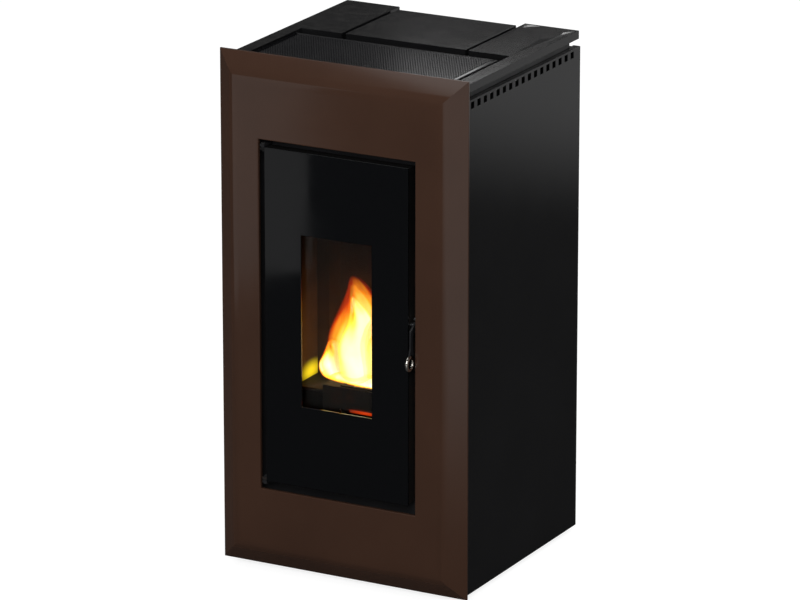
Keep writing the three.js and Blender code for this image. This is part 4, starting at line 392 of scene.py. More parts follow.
@dataclass(frozen=True)
class Coat(Finish):
    """Sprayed coat on sheet steel: enamel, satin powder coat or matt heat-resistant paint."""

    specular: float = 0.3
    fineness: float = 900.0
    waviness: float = 40.0
    share: float = 0.5
    relief: float = 0.00004
    variation: float = 0.12
    dust: float = 0.0
    dust_colour: Colour = (0.3, 0.29, 0.27, 1.0)

    def dress(self, graph: Graph, shader: Node, vector: Socket) -> None:
        """Dimples in the normal, slow blotches in colour and gloss, and settled dust."""
        grain = self.effect(
            graph, Effect.GRAIN, vector,
            Fineness=self.fineness, Waviness=self.waviness, Share=self.share,
        )
        lighter = shaded(self.colour, 1.0 + 2.0 * self.variation)
        darker = shaded(self.colour, 1.0 - self.variation)
        colour = graph.mix(grain.outputs["Blotch"], darker, lighter)
        dust = self.effect(graph, Effect.DUST, vector, Amount=self.dust)
        graph.feed(shader, "Base Color", graph.mix(dust.outputs["Mask"], colour, self.dust_colour))
        low = self.roughness * (1.0 - self.variation)
        high = self.roughness * (1.0 + self.variation)
        graph.feed(shader, "Roughness", graph.spread(grain.outputs["Blotch"], 0.0, 1.0, low, high))
        graph.feed(shader, "Specular IOR Level", self.specular)
        self.bump(graph, shader, grain.outputs["Height"], self.relief)


@dataclass(frozen=True)
class Zinc(Finish):
    """Zinc-coated sheet steel with its crystal spangle."""

    heat: float = 0.0

    def dress(self, graph: Graph, shader: Node, vector: Socket) -> None:
        """Spangle in colour and roughness, with fine scratches in the normal."""
        cells = self.effect(graph, Effect.SPANGLE, vector)
        dark = shaded(self.colour, 0.72)
        light = shaded(self.colour, 1.15)
        colour = graph.mix(cells.outputs["Value"], dark, light)
        patches = graph.spread(graph.noise(vector, 18.0, 5.0), 0.4, 0.75)
        stain = graph.maths("MULTIPLY", patches, self.heat)
        graph.feed(shader, "Base Color", graph.mix(stain, colour, srgb(96, 68, 44)))
        dullest = self.roughness + 0.18
        roughness = graph.spread(cells.outputs["Value"], 0.0, 1.0, self.roughness, dullest)
        graph.feed(shader, "Roughness", roughness)
        graph.feed(shader, "Metallic", 1.0)
        self.bump(graph, shader, graph.noise(vector, 700.0, 2.0), 0.00003)


@dataclass(frozen=True)
class Polished(Finish):
    """Polished steel with the faint turning marks left by the wheel."""

    def dress(self, graph: Graph, shader: Node, vector: Socket) -> None:
        """Metal whose roughness wanders a little, with hair-fine marks."""
        marks = graph.noise(vector, 2500.0, 1.0)
        graph.feed(shader, "Metallic", 1.0)
        dullest = self.roughness + 0.08
        graph.feed(shader, "Roughness", graph.spread(marks, 0.3, 0.7, self.roughness, dullest))
        self.bump(graph, shader, marks, 0.000004)


@dataclass(frozen=True)
class Cast(Finish):
    """Rough cast iron, sooted and a little rusted by the fire, with a patch of painted fire light where
    one is given.
    """

    rust: float = 0.35
    soot_start: float = 0.5
    soot_end: float = 0.8
    glow: PaintedGlow = PaintedGlow()

    def dress(self, graph: Graph, shader: Node, vector: Socket) -> None:
        """Casting skin in the normal, rust blooms and soot in the colour, and a painted patch of fire
        light.
        """
        grain = self.effect(graph, Effect.GRAIN, vector, Fineness=420.0, Waviness=90.0, Share=0.65)
        bloom = graph.spread(graph.noise(vector, 26.0, 6.0, 0.7), 0.48, 0.72)
        rusty = graph.mix(graph.maths("MULTIPLY", bloom, self.rust), self.colour, srgb(92, 50, 26))
        soot = self.effect(
            graph, Effect.SOOT, vector, Start=self.soot_start, End=self.soot_end, Patchiness=0.3
        )
        graph.feed(shader, "Base Color", graph.mix(soot.outputs["Mask"], rusty, srgb(17, 16, 16)))
        graph.feed(shader, "Specular IOR Level", 0.25)
        self.warm(graph, shader, vector, self.glow)
        self.bump(graph, shader, grain.outputs["Height"], 0.0003)


@dataclass(frozen=True)
class Board(Finish):
    """Pressed refractory board: brown-grey, mottled, sooted above, with painted light where the flame
    licks it.
    """

    glow: PaintedGlow = PaintedGlow()

    def dress(self, graph: Graph, shader: Node, vector: Socket) -> None:
        """Flakes in the normal, mottling and soot in the colour, and the painted patch of flame light."""
        flakes = graph.add("ShaderNodeTexVoronoi")
        graph.feed(flakes, "Vector", vector)
        graph.feed(flakes, "Scale", 420.0)
        mottle = graph.spread(graph.noise(vector, 45.0, 6.0, 0.7), 0.35, 0.7)
        pale = shaded(self.colour, 1.5)
        mottled = graph.mix(mottle, self.colour, pale)
        soot = self.effect(graph, Effect.SOOT, vector, Start=0.42, End=0.66, Patchiness=0.25)
        darkened = graph.maths("MULTIPLY", soot.outputs["Mask"], 0.8)
        graph.feed(shader, "Base Color", graph.mix(darkened, mottled, srgb(26, 22, 20)))
        graph.feed(shader, "Specular IOR Level", 0.1)
        self.warm(graph, shader, vector, self.glow)
        self.bump(graph, shader, flakes.outputs["Distance"], 0.0004)


@dataclass(frozen=True)
class Glazing(Finish):
    """Ceramic glass, clear or printed black on its rear face."""

    clear: float = 0.0
    haze: float = 0.06
    bend: float = 1.45  # refractive index

    def dress(self, graph: Graph, shader: Node, vector: Socket) -> None:
        """A polished face with a faint film of wiped soot in its gloss."""
        film = graph.spread(graph.noise(vector, 9.0, 6.0, 0.6), 0.35, 0.8)
        dullest = self.roughness + self.haze
        graph.feed(shader, "Roughness", graph.spread(film, 0.0, 1.0, self.roughness, dullest))
        graph.feed(shader, "Transmission Weight", self.clear)
        graph.feed(shader, "Metallic", 0.0)
        graph.feed(shader, "IOR", self.bend)


@dataclass(frozen=True)
class Rope(Finish):
    """Braided glass-fibre rope, its strands drawn along the piece's own UV map."""

    strands: float = 6.0

    def dress(self, graph: Graph, shader: Node, vector: Socket) -> None:
        """Two crossing sets of strands: the greater of two slanted sine waves."""
        parts = graph.add("ShaderNodeSeparateXYZ")
        graph.feed(parts, 0, vector)
        waves = []
        for slant in (1.0, -1.0):
            run = graph.maths("MULTIPLY", parts.outputs["X"], slant * 620.0)
            turn = graph.maths("MULTIPLY_ADD", parts.outputs["Y"], 2.0 * math.pi * self.strands, run)
            waves.append(graph.maths("SINE", turn))
        weave = graph.spread(graph.maths("MAXIMUM", *waves), -0.2, 1.0)
        # Painted shade: the grooves between the strands are painted darker.
        dark = shaded(self.colour, 0.4)
        graph.feed(shader, "Base Color", graph.mix(weave, dark, self.colour))
        graph.feed(shader, "Sheen Weight", 0.3)
        self.bump(graph, shader, weave, 0.0006)


@dataclass(frozen=True)
class Moulded(Finish):
    """Moulded plastic or rubber with a fine spark-eroded skin."""

    relief: float = 0.00006

    def dress(self, graph: Graph, shader: Node, vector: Socket) -> None:
        """Skin in the normal and a slight change of gloss over it."""
        grain = self.effect(graph, Effect.GRAIN, vector, Fineness=1500.0, Waviness=60.0, Share=0.8)
        lighter = shaded(self.colour, 1.4)
        graph.feed(shader, "Base Color", graph.mix(grain.outputs["Blotch"], self.colour, lighter))
        graph.feed(shader, "Specular IOR Level", 0.35)
        self.bump(graph, shader, grain.outputs["Height"], self.relief)


@dataclass(frozen=True)
class CircuitBoard(Finish):
    """Green lacquered board whose fitted parts stand out in black and grey."""

    face_x: float = 0.0

    def dress(self, graph: Graph, shader: Node, vector: Socket) -> None:
        """Copper tracks under the lacquer, and dark parts beyond the board's face."""
        parts = graph.add("ShaderNodeSeparateXYZ")
        graph.feed(parts, 0, vector)
        tracks = graph.add("ShaderNodeTexBrick", offset=0.37)
        turned = graph.add("ShaderNodeCombineXYZ")
        graph.feed(turned, "X", parts.outputs["Y"])
        graph.feed(turned, "Y", parts.outputs["Z"])
        graph.feed(tracks, "Vector", turned.outputs[0])
        graph.feed(tracks, "Scale", 90.0)
        graph.feed(tracks, "Mortar Size", 0.06)
        copper = graph.mix(tracks.outputs["Fac"], self.colour, srgb(58, 122, 74))
        fitted = graph.spread(parts.outputs["X"], self.face_x + 0.0008, self.face_x + 0.0012)
        blocks = graph.noise(vector, 30.0, 0.0)
        shade = graph.mix(graph.spread(blocks, 0.45, 0.55), srgb(30, 30, 32), srgb(120, 122, 126))
        graph.feed(shader, "Base Color", graph.mix(fitted, copper, shade))
        self.bump(graph, shader, tracks.outputs["Fac"], 0.00005)


@dataclass(frozen=True)
class Flame(Finish):
    """Burning gas: red at its rim, yellow in its body, white-yellow low in its core."""

    base: float = 0.35
    height: float = 0.2
    warmth: float = 0.0
    solidity: float = 0.9
    strength: float = 2.0

    def dress(self, graph: Graph, shader: Node, vector: Socket) -> None:
        """Colour from height and from how squarely the skin is seen; the rim fades out."""
        parts = graph.add("ShaderNodeSeparateXYZ")
        graph.feed(parts, 0, vector)
        wander = graph.maths("SUBTRACT", graph.noise(vector, 38.0, 3.0), 0.5)
        waver = graph.maths("MULTIPLY", wander, 0.05)
        level = graph.maths("ADD", parts.outputs["Z"], waver)
        height = graph.spread(level, self.base, self.base + self.height)
        facing = graph.add("ShaderNodeLayerWeight")
        graph.feed(facing, "Blend", 0.5)
        middle = graph.maths("SUBTRACT", 1.0, facing.outputs["Facing"])
        cooled = graph.maths("MULTIPLY_ADD", height, -0.45, self.warmth)
        heat = graph.maths("MULTIPLY_ADD", middle, 1.15, cooled)
        ramp = graph.add("ShaderNodeValToRGB")
        stops = ramp.color_ramp.elements
        stops[0].color = srgb(120, 24, 4)
        stops[1].color = srgb(255, 250, 205)
        between = ((0.28, srgb(190, 52, 6)), (0.46, srgb(240, 128, 20)), (0.68, srgb(255, 208, 62)))
        for place, colour in between:
            stops.new(place).color = colour
        graph.feed(ramp, 0, heat)
        graph.feed(shader, "Base Color", BLACK)
        graph.feed(shader, "Emission Color", ramp.outputs[0])
        graph.feed(shader, "Emission Strength", self.strength)
        graph.feed(shader, "Specular IOR Level", 0.0)
        edge = graph.add("ShaderNodeMapRange", clamp=True, interpolation_type="SMOOTHERSTEP")
        graph.feed(edge, 0, middle)
        graph.feed(edge, 1, 0.02)
        graph.feed(edge, 2, 0.85)
        tip = graph.spread(height, 1.0, 0.8)
        shown = graph.maths("MULTIPLY", edge.outputs[0], tip)
        graph.feed(shader, "Alpha", graph.maths("MULTIPLY", shown, self.solidity))


@dataclass(frozen=True)
class Embers(Finish):
    """Burning pellets: bright where they touch, ash-grey on their skins."""

    glow: float = 3.0

    def dress(self, graph: Graph, shader: Node, vector: Socket) -> None:
        """Noise decides where the ash has fallen away and the heat shows."""
        cracks = graph.spread(graph.noise(vector, 160.0, 5.0, 0.7), 0.42, 0.62)
        graph.feed(shader, "Base Color", graph.mix(cracks, srgb(70, 62, 56), srgb(24, 16, 12)))
        graph.feed(shader, "Emission Color", graph.mix(cracks, srgb(60, 8, 0), srgb(255, 168, 48)))
        graph.feed(shader, "Emission Strength", self.glow)


class Finishes:
    """Every finish of the stove."""

    enamel = Coat(
        "brown_enamel", "brown_enamel", srgb(62, 42, 32), roughness=0.14, specular=0.5,
        fineness=260.0, waviness=55.0, share=0.25, relief=0.000012, variation=0.05,
    )
    satin = Coat(
        "black_satin", "black_satin", srgb(20, 20, 21), roughness=0.13, specular=0.3,
        fineness=1400.0, waviness=300.0, share=0.7, relief=0.00002, variation=0.08, dust=0.05,
    )
    matt = Coat(
        "black_paint", "black_paint", srgb(28, 28, 30), roughness=0.55, specular=0.25,
        fineness=1200.0, waviness=200.0, share=0.7, relief=0.00008, variation=0.15, dust=0.15,
    )
    mesh_paint = Coat(
        "grille_paint", "black_paint", srgb(26, 26, 28), roughness=0.16, specular=0.2,
        fineness=1200.0, waviness=200.0, share=0.7, relief=0.00002, variation=0.1, dust=0.03,
    )
    printed_glass = Glazing("black_glass", "black_glass", srgb(9, 10, 12), roughness=0.04)
    clear_glass = Glazing(
        "fire_glass", "fire_glass", srgb(235, 232, 226), roughness=0.0, clear=1.0, haze=0.02, bend=1.2,
    )
    iron = Cast("cast_iron", "cast_iron", srgb(44, 39, 35), roughness=0.8)
    door_iron = Cast(
        "door_iron", "cast_iron", srgb(34, 32, 31), roughness=0.62,
        rust=0.12, soot_start=0.3, soot_end=0.9,
    )
    zinc = Zinc("zinc_steel", "steel", srgb(172, 174, 176), roughness=0.3)
    hot_zinc = Zinc("heat_stained_steel", "steel", srgb(150, 146, 140), roughness=0.38, heat=0.7)
    polished = Polished("polished_steel", "polished_steel", srgb(226, 222, 214), roughness=0.08)
    rope = Rope("rope", "rope", srgb(118, 114, 108), roughness=0.95, space=Space.UV)
    rubber = Moulded("rubber", "rubber", srgb(20, 20, 20), roughness=0.85)
    plastic = Moulded("black_plastic", "plastic", srgb(22, 22, 24), roughness=0.45)
    red_plastic = Moulded("red_plastic", "red_plastic", srgb(150, 22, 16), roughness=0.32, relief=0.00001)
    motor = Moulded("motor_paint", "black_paint", srgb(36, 38, 40), roughness=0.5)


# ----------------------------------------------------------------------------------------------
# Mesh helpers
# ----------------------------------------------------------------------------------------------


def grid_faces(
    rows: int, columns: int, close_rows: bool = False, close_columns: bool = False
) -> np.ndarray:
    """Quads of a grid whose vertex (i, j) has the number i * columns + j.

    Args:
        rows, columns: how many vertices the grid has each way.
        close_rows, close_columns: whether the last row or column joins the first.

    Returns:
        An array of four vertex numbers a quad.
    """
    i = np.arange(rows if close_rows else rows - 1)[:, None]
    j = np.arange(columns if close_columns else columns - 1)[None, :]
    next_i = (i + 1) % rows
    next_j = (j + 1) % columns
    here, there = i * columns, next_i * columns
    corners = [here + j, here + next_j, there + next_j, there + j]
    return np.stack(np.broadcast_arrays(*corners), axis=-1).reshape(-1, 4)


def rounded(points: Sequence[Sequence[float]], radii: Sequence[float], steps: int = 5) -> np.ndarray:
    """A polyline with its corners rounded by arcs.

    The arc at a corner starts and ends one tangent length, radius / tan(half the inner angle),
    from it. Its points are the corner's two tangent points blended on a circle.

    Args:
        points: the corners, as pairs.
        radii: the radius at each corner; 0 keeps it sharp.
        steps: segments in each arc.

    Returns:
        The points of the rounded line.
    """
    given = np.asarray(points, dtype=float)
    parts = []
    for index, (corner, radius) in enumerate(zip(given, radii)):
        if radius <= 0.0 or index in (0, len(given) - 1):
            parts.append(corner[None, :])
            continue
        back = given[index - 1] - corner
        ahead = given[index + 1] - corner
        back_unit, ahead_unit = back / np.linalg.norm(back), ahead / np.linalg.norm(ahead)
        inner = math.acos(float(np.clip(back_unit @ ahead_unit, -1.0, 1.0)))
        reach = radius / math.tan(inner / 2.0)
        bisector = back_unit + ahead_unit
        centre = corner + bisector / np.linalg.norm(bisector) * radius / math.sin(inner / 2.0)
        start = corner + back_unit * reach - centre
        end = corner + ahead_unit * reach - centre
        sweep = math.atan2(start[0] * end[1] - start[1] * end[0], float(start @ end))
        turn = np.linspace(0.0, sweep, steps + 1)[:, None]
        across = np.array([-start[1], start[0]])
        parts.append(centre + np.cos(turn) * start + np.sin(turn) * across)
    return np.concatenate(parts)


@dataclass
class Shape:
    """Vertices and faces gathered for one piece."""

    vertices: list[np.ndarray] = field(default_factory=list)
    faces: list[list[int]] = field(default_factory=list)

    def add(self, vertices: np.ndarray, faces: Sequence[Sequence[int]]) -> None:
        """Adds a patch of vertices with faces numbered from its own first vertex."""
        start = sum(len(part) for part in self.vertices)
        self.vertices.append(np.asarray(vertices, dtype=float).reshape(-1, 3))
        self.faces.extend((np.asarray(face) + start).tolist() for face in faces)

    def piece(
        self, name: str, finish: Finish, body: str, nodes: Sequence[str] = (), sharp: float = 30.0
    ) -> bpy.types.Object:
        """Makes the piece, dresses it and lets it ride on a body.

        Args:
            name: the piece's name.
            finish: its finish.
            body: the body that it moves with.
            nodes: the CAD nodes that it stands for.
            sharp: the angle in degrees past which an edge stays crisp.

        Returns:
            The new object.
        """
        mesh = bpy.data.meshes.new(name)
        mesh.from_pydata(np.concatenate(self.vertices).tolist(), [], self.faces)
        mesh.update()
        work = bmesh.new()
        work.from_mesh(mesh)
        bmesh.ops.remove_doubles(work, verts=work.verts, dist=1e-7)
        bmesh.ops.recalc_face_normals(work, faces=work.faces)
        work.to_mesh(mesh)
        work.free()
        return finish_piece(mesh, name, finish, body, nodes, sharp)


def finish_piece(
    mesh: bpy.types.Mesh, name: str, finish: Finish, body: str, nodes: Sequence[str], sharp: float
) -> bpy.types.Object:
    """Smooths a mesh up to an angle, dresses it and lets it ride on its body."""
    mesh.shade_smooth()
    mesh.set_sharp_from_angle(angle=math.radians(sharp))
    mesh.materials.clear()
    mesh.materials.append(finish.material())
    piece = bpy.data.objects.new(name, mesh)
    bpy.context.scene.collection.objects.link(piece)
    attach(piece, body)
    if nodes:
        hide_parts(*nodes)
    LOG.info("%s: %d faces on %s", name, len(mesh.polygons), body)
    return piece


BODY_OF = {
    node: body
    for body, nodes in frame["record"]["behaviour"]["bodies"].items()
    for node in nodes
}


def refine(
    node: str, finish: Finish, bevel: float, segments: int = 2, sharp: float = 30.0
) -> bpy.types.Object:
    """A softened copy of a CAD node: merged, flat faces joined, edges rounded.

    Args:
        node: the CAD node that the piece stands for.
        finish: its finish.
        bevel: how wide its edges are rounded; 0 leaves them as they are.
        segments: steps across a rounded edge.
        sharp: the angle in degrees past which an edge is rounded and stays crisp.

    Returns:
        The new object.
    """
    name = f"{node}_fine"
    mesh = frame["nodes"][node].data.copy()
    mesh.name = name
    work = bmesh.new()
    work.from_mesh(mesh)
    bmesh.ops.remove_doubles(work, verts=work.verts, dist=2e-6)
    bmesh.ops.dissolve_limit(
        work, angle_limit=math.radians(1.0), verts=work.verts, edges=work.edges,
        use_dissolve_boundaries=False,
    )
    work.to_mesh(mesh)
    work.free()
    piece = finish_piece(mesh, name, finish, BODY_OF[node], [node], sharp)
    if bevel > 0.0:
        edge = piece.modifiers.new("edges", "BEVEL")
        edge.width = bevel
        edge.segments = segments
        edge.limit_method = "ANGLE"
        edge.angle_limit = math.radians(sharp)
        edge.harden_normals = True
    return piece


def upright_rings(
    halves: np.ndarray, lows: np.ndarray, highs: np.ndarray, depths: np.ndarray
) -> np.ndarray:
    """Rectangles that stand in planes of constant y, four corners each, centred on x = 0."""
    signs = np.array([-1.0, 1.0, 1.0, -1.0])
    x = halves[:, None] * signs
    z = np.where(np.array([True, True, False, False]), lows[:, None], highs[:, None])
    y = np.broadcast_to(depths[:, None], x.shape)
    return np.stack([x, y, z], axis=-1)


def revolve(
    profile: np.ndarray, centre: Vec, axis: int, steps: int
) -> tuple[np.ndarray, np.ndarray]:
    """A closed (radius, distance) profile turned about an axis of the frame.

    A point at radius r and distance d comes out at d along the axis and, across it, at
    r cos(turn) and r sin(turn).

    Args:
        profile: the closed section, as (radius, distance along the axis) pairs.
        centre: a point on the axis, from which the distances are counted.
        axis: 0, 1 or 2 for X, Y or Z.
        steps: how many steps one turn takes.

    Returns:
        The vertices and quads.
    """
    turn = np.linspace(0.0, 2.0 * math.pi, steps, endpoint=False)[:, None]
    radius, distance = profile[:, 0][None, :], profile[:, 1][None, :]
    across = [index for index in range(3) if index != axis]
    points = np.zeros((steps, len(profile), 3))
    points[..., axis] = distance
    points[..., across[0]] = radius * np.cos(turn)
    points[..., across[1]] = radius * np.sin(turn)
    points += np.asarray(centre)
    return points.reshape(-1, 3), grid_faces(steps, len(profile), True, True)


# ----------------------------------------------------------------------------------------------
# Sub-assemblies
# ----------------------------------------------------------------------------------------------


@dataclass
class Surround:
    """The enamelled front surround: a bevelled border, a flat face and an opening for the door."""

    bevel_width: float = 37.0 * MM
    edge_depth: float = 4.0 * MM
    wall: float = 7.0 * MM
    rim: float = 20.0 * MM
    side_margin: float = 91.5 * MM
    bottom_margin: float = 153.0 * MM
    top_margin: float = 150.7 * MM
    edge_radius: float = 0.9 * MM
    bevel_radius: float = 45.0 * MM
    lip_radius: float = 1.6 * MM

    def rings(self) -> np.ndarray:
        """The surround's section carried round its outline as upright rectangles.

        The section is rounded at the outer edge, at the foot of the bevel and at the opening.
        Each of its points is a distance inwards from the outer edge, or outwards from the
        opening, and a depth; each becomes one rectangle.

        Returns:
            An array of rectangles with four corners each.
        """
        low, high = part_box("front_surround")
        front, rear = low[1], high[1]
        edge = rear - self.edge_depth
        back = front + self.wall
        outer = rounded(
            [
                (self.rim, rear), (0.0, rear), (0.0, edge),
                (self.bevel_width, front), (2.0 * self.bevel_width, front),
            ],
            [0.0, self.edge_radius / 2.0, self.edge_radius, self.bevel_radius, 0.0],
            steps=12,
        )[:-1]
        lip = 2.0 * self.lip_radius
        opening = rounded(
            [(lip, front), (0.0, front), (0.0, back), (lip, back)],
            [0.0, self.lip_radius, 0.0, 0.0],
        )
        inner_back = np.array([(self.bevel_width + self.wall, back)])
        half = high[0]

        def from_outer(section: np.ndarray) -> np.ndarray:
            inset, depth = section[:, 0], section[:, 1]
            return upright_rings(half - inset, low[2] + inset, high[2] - inset, depth)

        def from_opening(section: np.ndarray) -> np.ndarray:
            offset, depth = section[:, 0], section[:, 1]
            bottom = low[2] + self.bottom_margin - offset
            top = high[2] - self.top_margin + offset
            return upright_rings(half - self.side_margin + offset, bottom, top, depth)

        return np.concatenate([from_outer(outer), from_opening(opening), from_outer(inner_back)])

    def build(self) -> None:
        """Makes the surround in place of its CAD node."""
        rings = self.rings()
        shape = Shape()
        shape.add(rings, grid_faces(len(rings), 4, True, True))
        shape.piece("surround", Finishes.enamel, "stove", ["front_surround"], sharp=22.0)


@dataclass
class Grille:
    """The perforated grille: round holes in staggered rows, in a sheet with folded sides."""

    pitch: float = 5.0 * MM
    hole_radius: float = 1.55 * MM
    hole_sides: int = 12
    border: float = 7.0 * MM
    sheet: float = 1.2 * MM
    fold_radius: float = 1.2 * MM

    def holes(
        self, low: Sequence[float], high: Sequence[float]
    ) -> tuple[np.ndarray, np.ndarray, np.ndarray]:
        """Places the holes and the six-sided cells round them.

        Hole centres lie a pitch apart along X, in rows a pitch times half the root of three
        apart, every second row half a pitch along. Cell corners lie pitch over the root of three
        from the centre. Corners past the outermost centres are moved out to one straight line.

        Args:
            low, high: the sheet's corners.

        Returns:
            The cell corners, the hole's points, and the field's half size and middle.
        """
        row_pitch = self.pitch * math.sqrt(3.0) / 2.0
        reach = self.pitch / math.sqrt(3.0)
        middle = (np.array(low[:2]) + np.array(high[:2])) / 2.0
        room = (np.array(high[:2]) - np.array(low[:2])) - 2.0 * self.border
        columns = int(room[0] / self.pitch - 0.5)
        rows = int((room[1] - 2.0 * reach) / row_pitch) + 1
        j, i = np.meshgrid(np.arange(rows), np.arange(columns), indexing="ij")
        x = (i + 0.5 * (j % 2) - (columns - 0.5) / 2.0 + 0.25) * self.pitch
        y = (j - (rows - 1) / 2.0) * row_pitch
        centres = np.stack([x, y], axis=-1).reshape(-1, 1, 2)
        corner_turn = np.radians(30.0 + 60.0 * np.arange(6))
        cells = centres + reach * np.stack([np.cos(corner_turn), np.sin(corner_turn)], axis=-1)
        half = np.array([x.max() + self.pitch / 2.0, y.max() + reach])
        edge_x = half[0] - self.pitch / 2.0 + TOLERANCE
        outside_x = np.abs(cells[..., 0]) > edge_x
        cells[..., 0] = np.where(outside_x, np.sign(cells[..., 0]) * half[0], cells[..., 0])
        outside_y = np.abs(cells[..., 1]) > y.max() + TOLERANCE
        cells[..., 1] = np.where(outside_y, np.sign(cells[..., 1]) * half[1], cells[..., 1])
        hole_turn = np.radians(30.0 + 360.0 / self.hole_sides * np.arange(self.hole_sides))
        holes = centres + self.hole_radius * np.stack([np.cos(hole_turn), np.sin(hole_turn)], axis=-1)
        return cells + middle, holes + middle, np.stack([half, middle])

    def build(self) -> None:
        """Makes the perforated sheet and its folded border in place of the CAD grille."""
        low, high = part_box("air_grille")
        cells, holes, (half, middle) = self.holes(low, high)
        top, under = high[2], high[2] - self.sheet
        count = len(cells)
        shape = Shape()

        def lifted(points: np.ndarray, z: float) -> np.ndarray:
            return np.concatenate([points, np.full(points.shape[:-1] + (1,), z)], axis=-1)

        block = np.concatenate([lifted(cells, top), lifted(holes, top), lifted(holes, under)], axis=1)
        size = 6 + 2 * self.hole_sides
        start = (np.arange(count) * size)[:, None, None]
        side = np.arange(6)
        ring = 6 + (2 * side[:, None] + np.array([2, 1, 0])) % self.hole_sides
        skin = np.concatenate([side[:, None], (side[:, None] + 1) % 6, ring], axis=1)[None]
        around = np.arange(self.hole_sides)
        onward = (around + 1) % self.hole_sides
        upper, lower = 6, 6 + self.hole_sides
        wall = np.stack(
            [upper + around, upper + onward, lower + onward, lower + around], axis=-1
        )[None]
        faces = (skin + start).reshape(-1, 5).tolist() + (wall + start).reshape(-1, 4).tolist()
        shape.add(block.reshape(-1, 3), faces)
        self.add_border(shape, cells, half, middle, low, high)
        shape.piece("perforated_grille", Finishes.mesh_paint, "stove", ["air_grille"], sharp=35.0)

    def add_border(
        self, shape: Shape, cells: np.ndarray, half: np.ndarray, middle: np.ndarray,
        low: Sequence[float], high: Sequence[float],
    ) -> None:
        """Adds the plain border, its rounded folds and the folded sides.

        The border is four flat faces, each with the field's edge points along one side. The fold
        and the sides are rectangles in planes of constant z, joined ring to ring.
        """
        radius, sheet = self.fold_radius, self.sheet
        section = rounded(
            [
                (3.0 * radius, high[2]), (0.0, high[2]), (0.0, low[2]),
                (sheet, low[2]), (sheet, high[2] - sheet),
            ],
            [0.0, radius, 0.0, 0.0, 0.0],
        )[1:]
        outer = np.array(high[:2]) - middle
        signs = np.array([(-1.0, -1.0), (1.0, -1.0), (1.0, 1.0), (-1.0, 1.0)])
        corners = middle + signs[None] * (outer[None, None] - section[:, 0][:, None, None])
        heights = np.broadcast_to(section[:, 1][:, None, None], corners.shape[:2] + (1,))
        shape.add(np.concatenate([corners, heights], axis=-1), grid_faces(len(section), 4, False, True))
        edge = np.unique(np.round(cells.reshape(-1, 2) - middle, 8), axis=0)
        for axis, way in ((1, -1.0), (0, 1.0), (1, 1.0), (0, -1.0)):
            on_edge = edge[np.abs(edge[:, axis] - way * half[axis]) < TOLERANCE]
            along = 1 - axis
            line = on_edge[np.argsort(on_edge[:, along])]
            rim = outer - section[0, 0]
            ends = np.zeros((2, 2))
            ends[:, axis] = way * rim[axis]
            ends[:, along] = (rim[along], -rim[along])
            flat = np.concatenate([line, ends]) + middle
            z = np.full((len(flat), 1), high[2])
            shape.add(np.concatenate([flat, z], axis=-1), [list(range(len(flat)))])


@dataclass
class Casing:
    """Base, feet, panels and top cover: what shows of the body from outside."""

    sheet_edge: float = 0.5 * MM
    block_edge: float = 0.9 * MM
    plug_edge: float = 0.35 * MM
    pad_top: float = 9.7 * MM
    stud: float = 4.0 * MM
    screw_head: float = 4.2 * MM
    screw_height: float = 2.2 * MM
    screw_inset: float = 20.5 * MM
    screw_drop: float = 40.0 * MM
    screw_rows: int = 6
    socket_radius: float = 1.15 * MM

    def foot(self, name: str) -> None:
        """A turned levelling foot with a rounded pad and a stud."""
        low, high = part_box(name)
        radius = (high[0] - low[0]) / 2.0
        centre = ((low[0] + high[0]) / 2.0, (low[1] + high[1]) / 2.0, 0.0)
        section = rounded(
            [
                (0.0, 0.0), (radius, 0.0), (radius, self.pad_top),
                (self.stud, self.pad_top), (self.stud, high[2]), (0.0, high[2]),
            ],
            [0.0, 1.5 * MM, 2.5 * MM, 0.0, 0.6 * MM, 0.0],
        )
        shape = Shape()
        shape.add(*revolve(section, centre, 2, 48))
        shape.piece(f"{name}_turned", Finishes.rubber, "stove", [name])

    def rear_screws(self) -> None:
        """Domed screws down both edges of the rear panel.

        A head is a dome: its radius shrinks as the cosine of the rise while its height grows as
        the sine. The six-lobed socket's radius swells with the cosine of six times the turn.
        """
        low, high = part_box("rear_panel")
        steps, rise = 24, 7
        turn = np.linspace(0.0, 2.0 * math.pi, steps, endpoint=False)[None, :]
        lift = np.linspace(0.0, 0.42 * math.pi, rise)[:, None]
        dome_radius = self.screw_head * np.cos(lift) * np.ones_like(turn)
        dome_height = self.screw_height * np.sin(lift) * np.ones_like(turn)
        lobes = 1.0 + 0.16 * np.cos(6.0 * turn)
        socket = self.socket_radius * lobes * np.array([1.0, 1.0, 0.02])[:, None]
        floor = self.screw_height * np.array([0.97, 0.3, 0.3])[:, None] * np.ones_like(turn)
        radius = np.concatenate([dome_radius, socket])
        height = np.concatenate([dome_height, floor])
        shape = Shape()
        levels = np.linspace(low[2] + self.screw_drop, high[2] - self.screw_drop, self.screw_rows)
        for x in (low[0] + self.screw_inset, high[0] - self.screw_inset):
            for z in levels:
                points = np.stack(
                    [x + radius * np.cos(turn), high[1] + height, z + radius * np.sin(turn)], axis=-1
                )
                shape.add(points, grid_faces(rise + 3, steps, False, True))
        shape.piece("rear_screws", Finishes.zinc, "stove")

    def build(self) -> None:
        """Dresses the casing."""
        refine("base_plate", Finishes.matt, self.sheet_edge)
        for row in ("front", "rear"):
            for side in ("left", "right"):
                self.foot(f"foot_{row}_{side}")
        for side in ("left", "right"):
            refine(f"{side}_side_panel", Finishes.satin, self.sheet_edge)
        refine("rear_panel", Finishes.matt, self.sheet_edge / 2.0)
        refine("front_frame", Finishes.matt, self.sheet_edge)
        refine("top_frame", Finishes.matt, self.sheet_edge)
        refine("top_cover", Finishes.satin, self.block_edge, segments=3)
        for side in ("left", "right"):
            refine(f"{side}_round_plug", Finishes.satin, self.plug_edge)
        self.rear_screws()


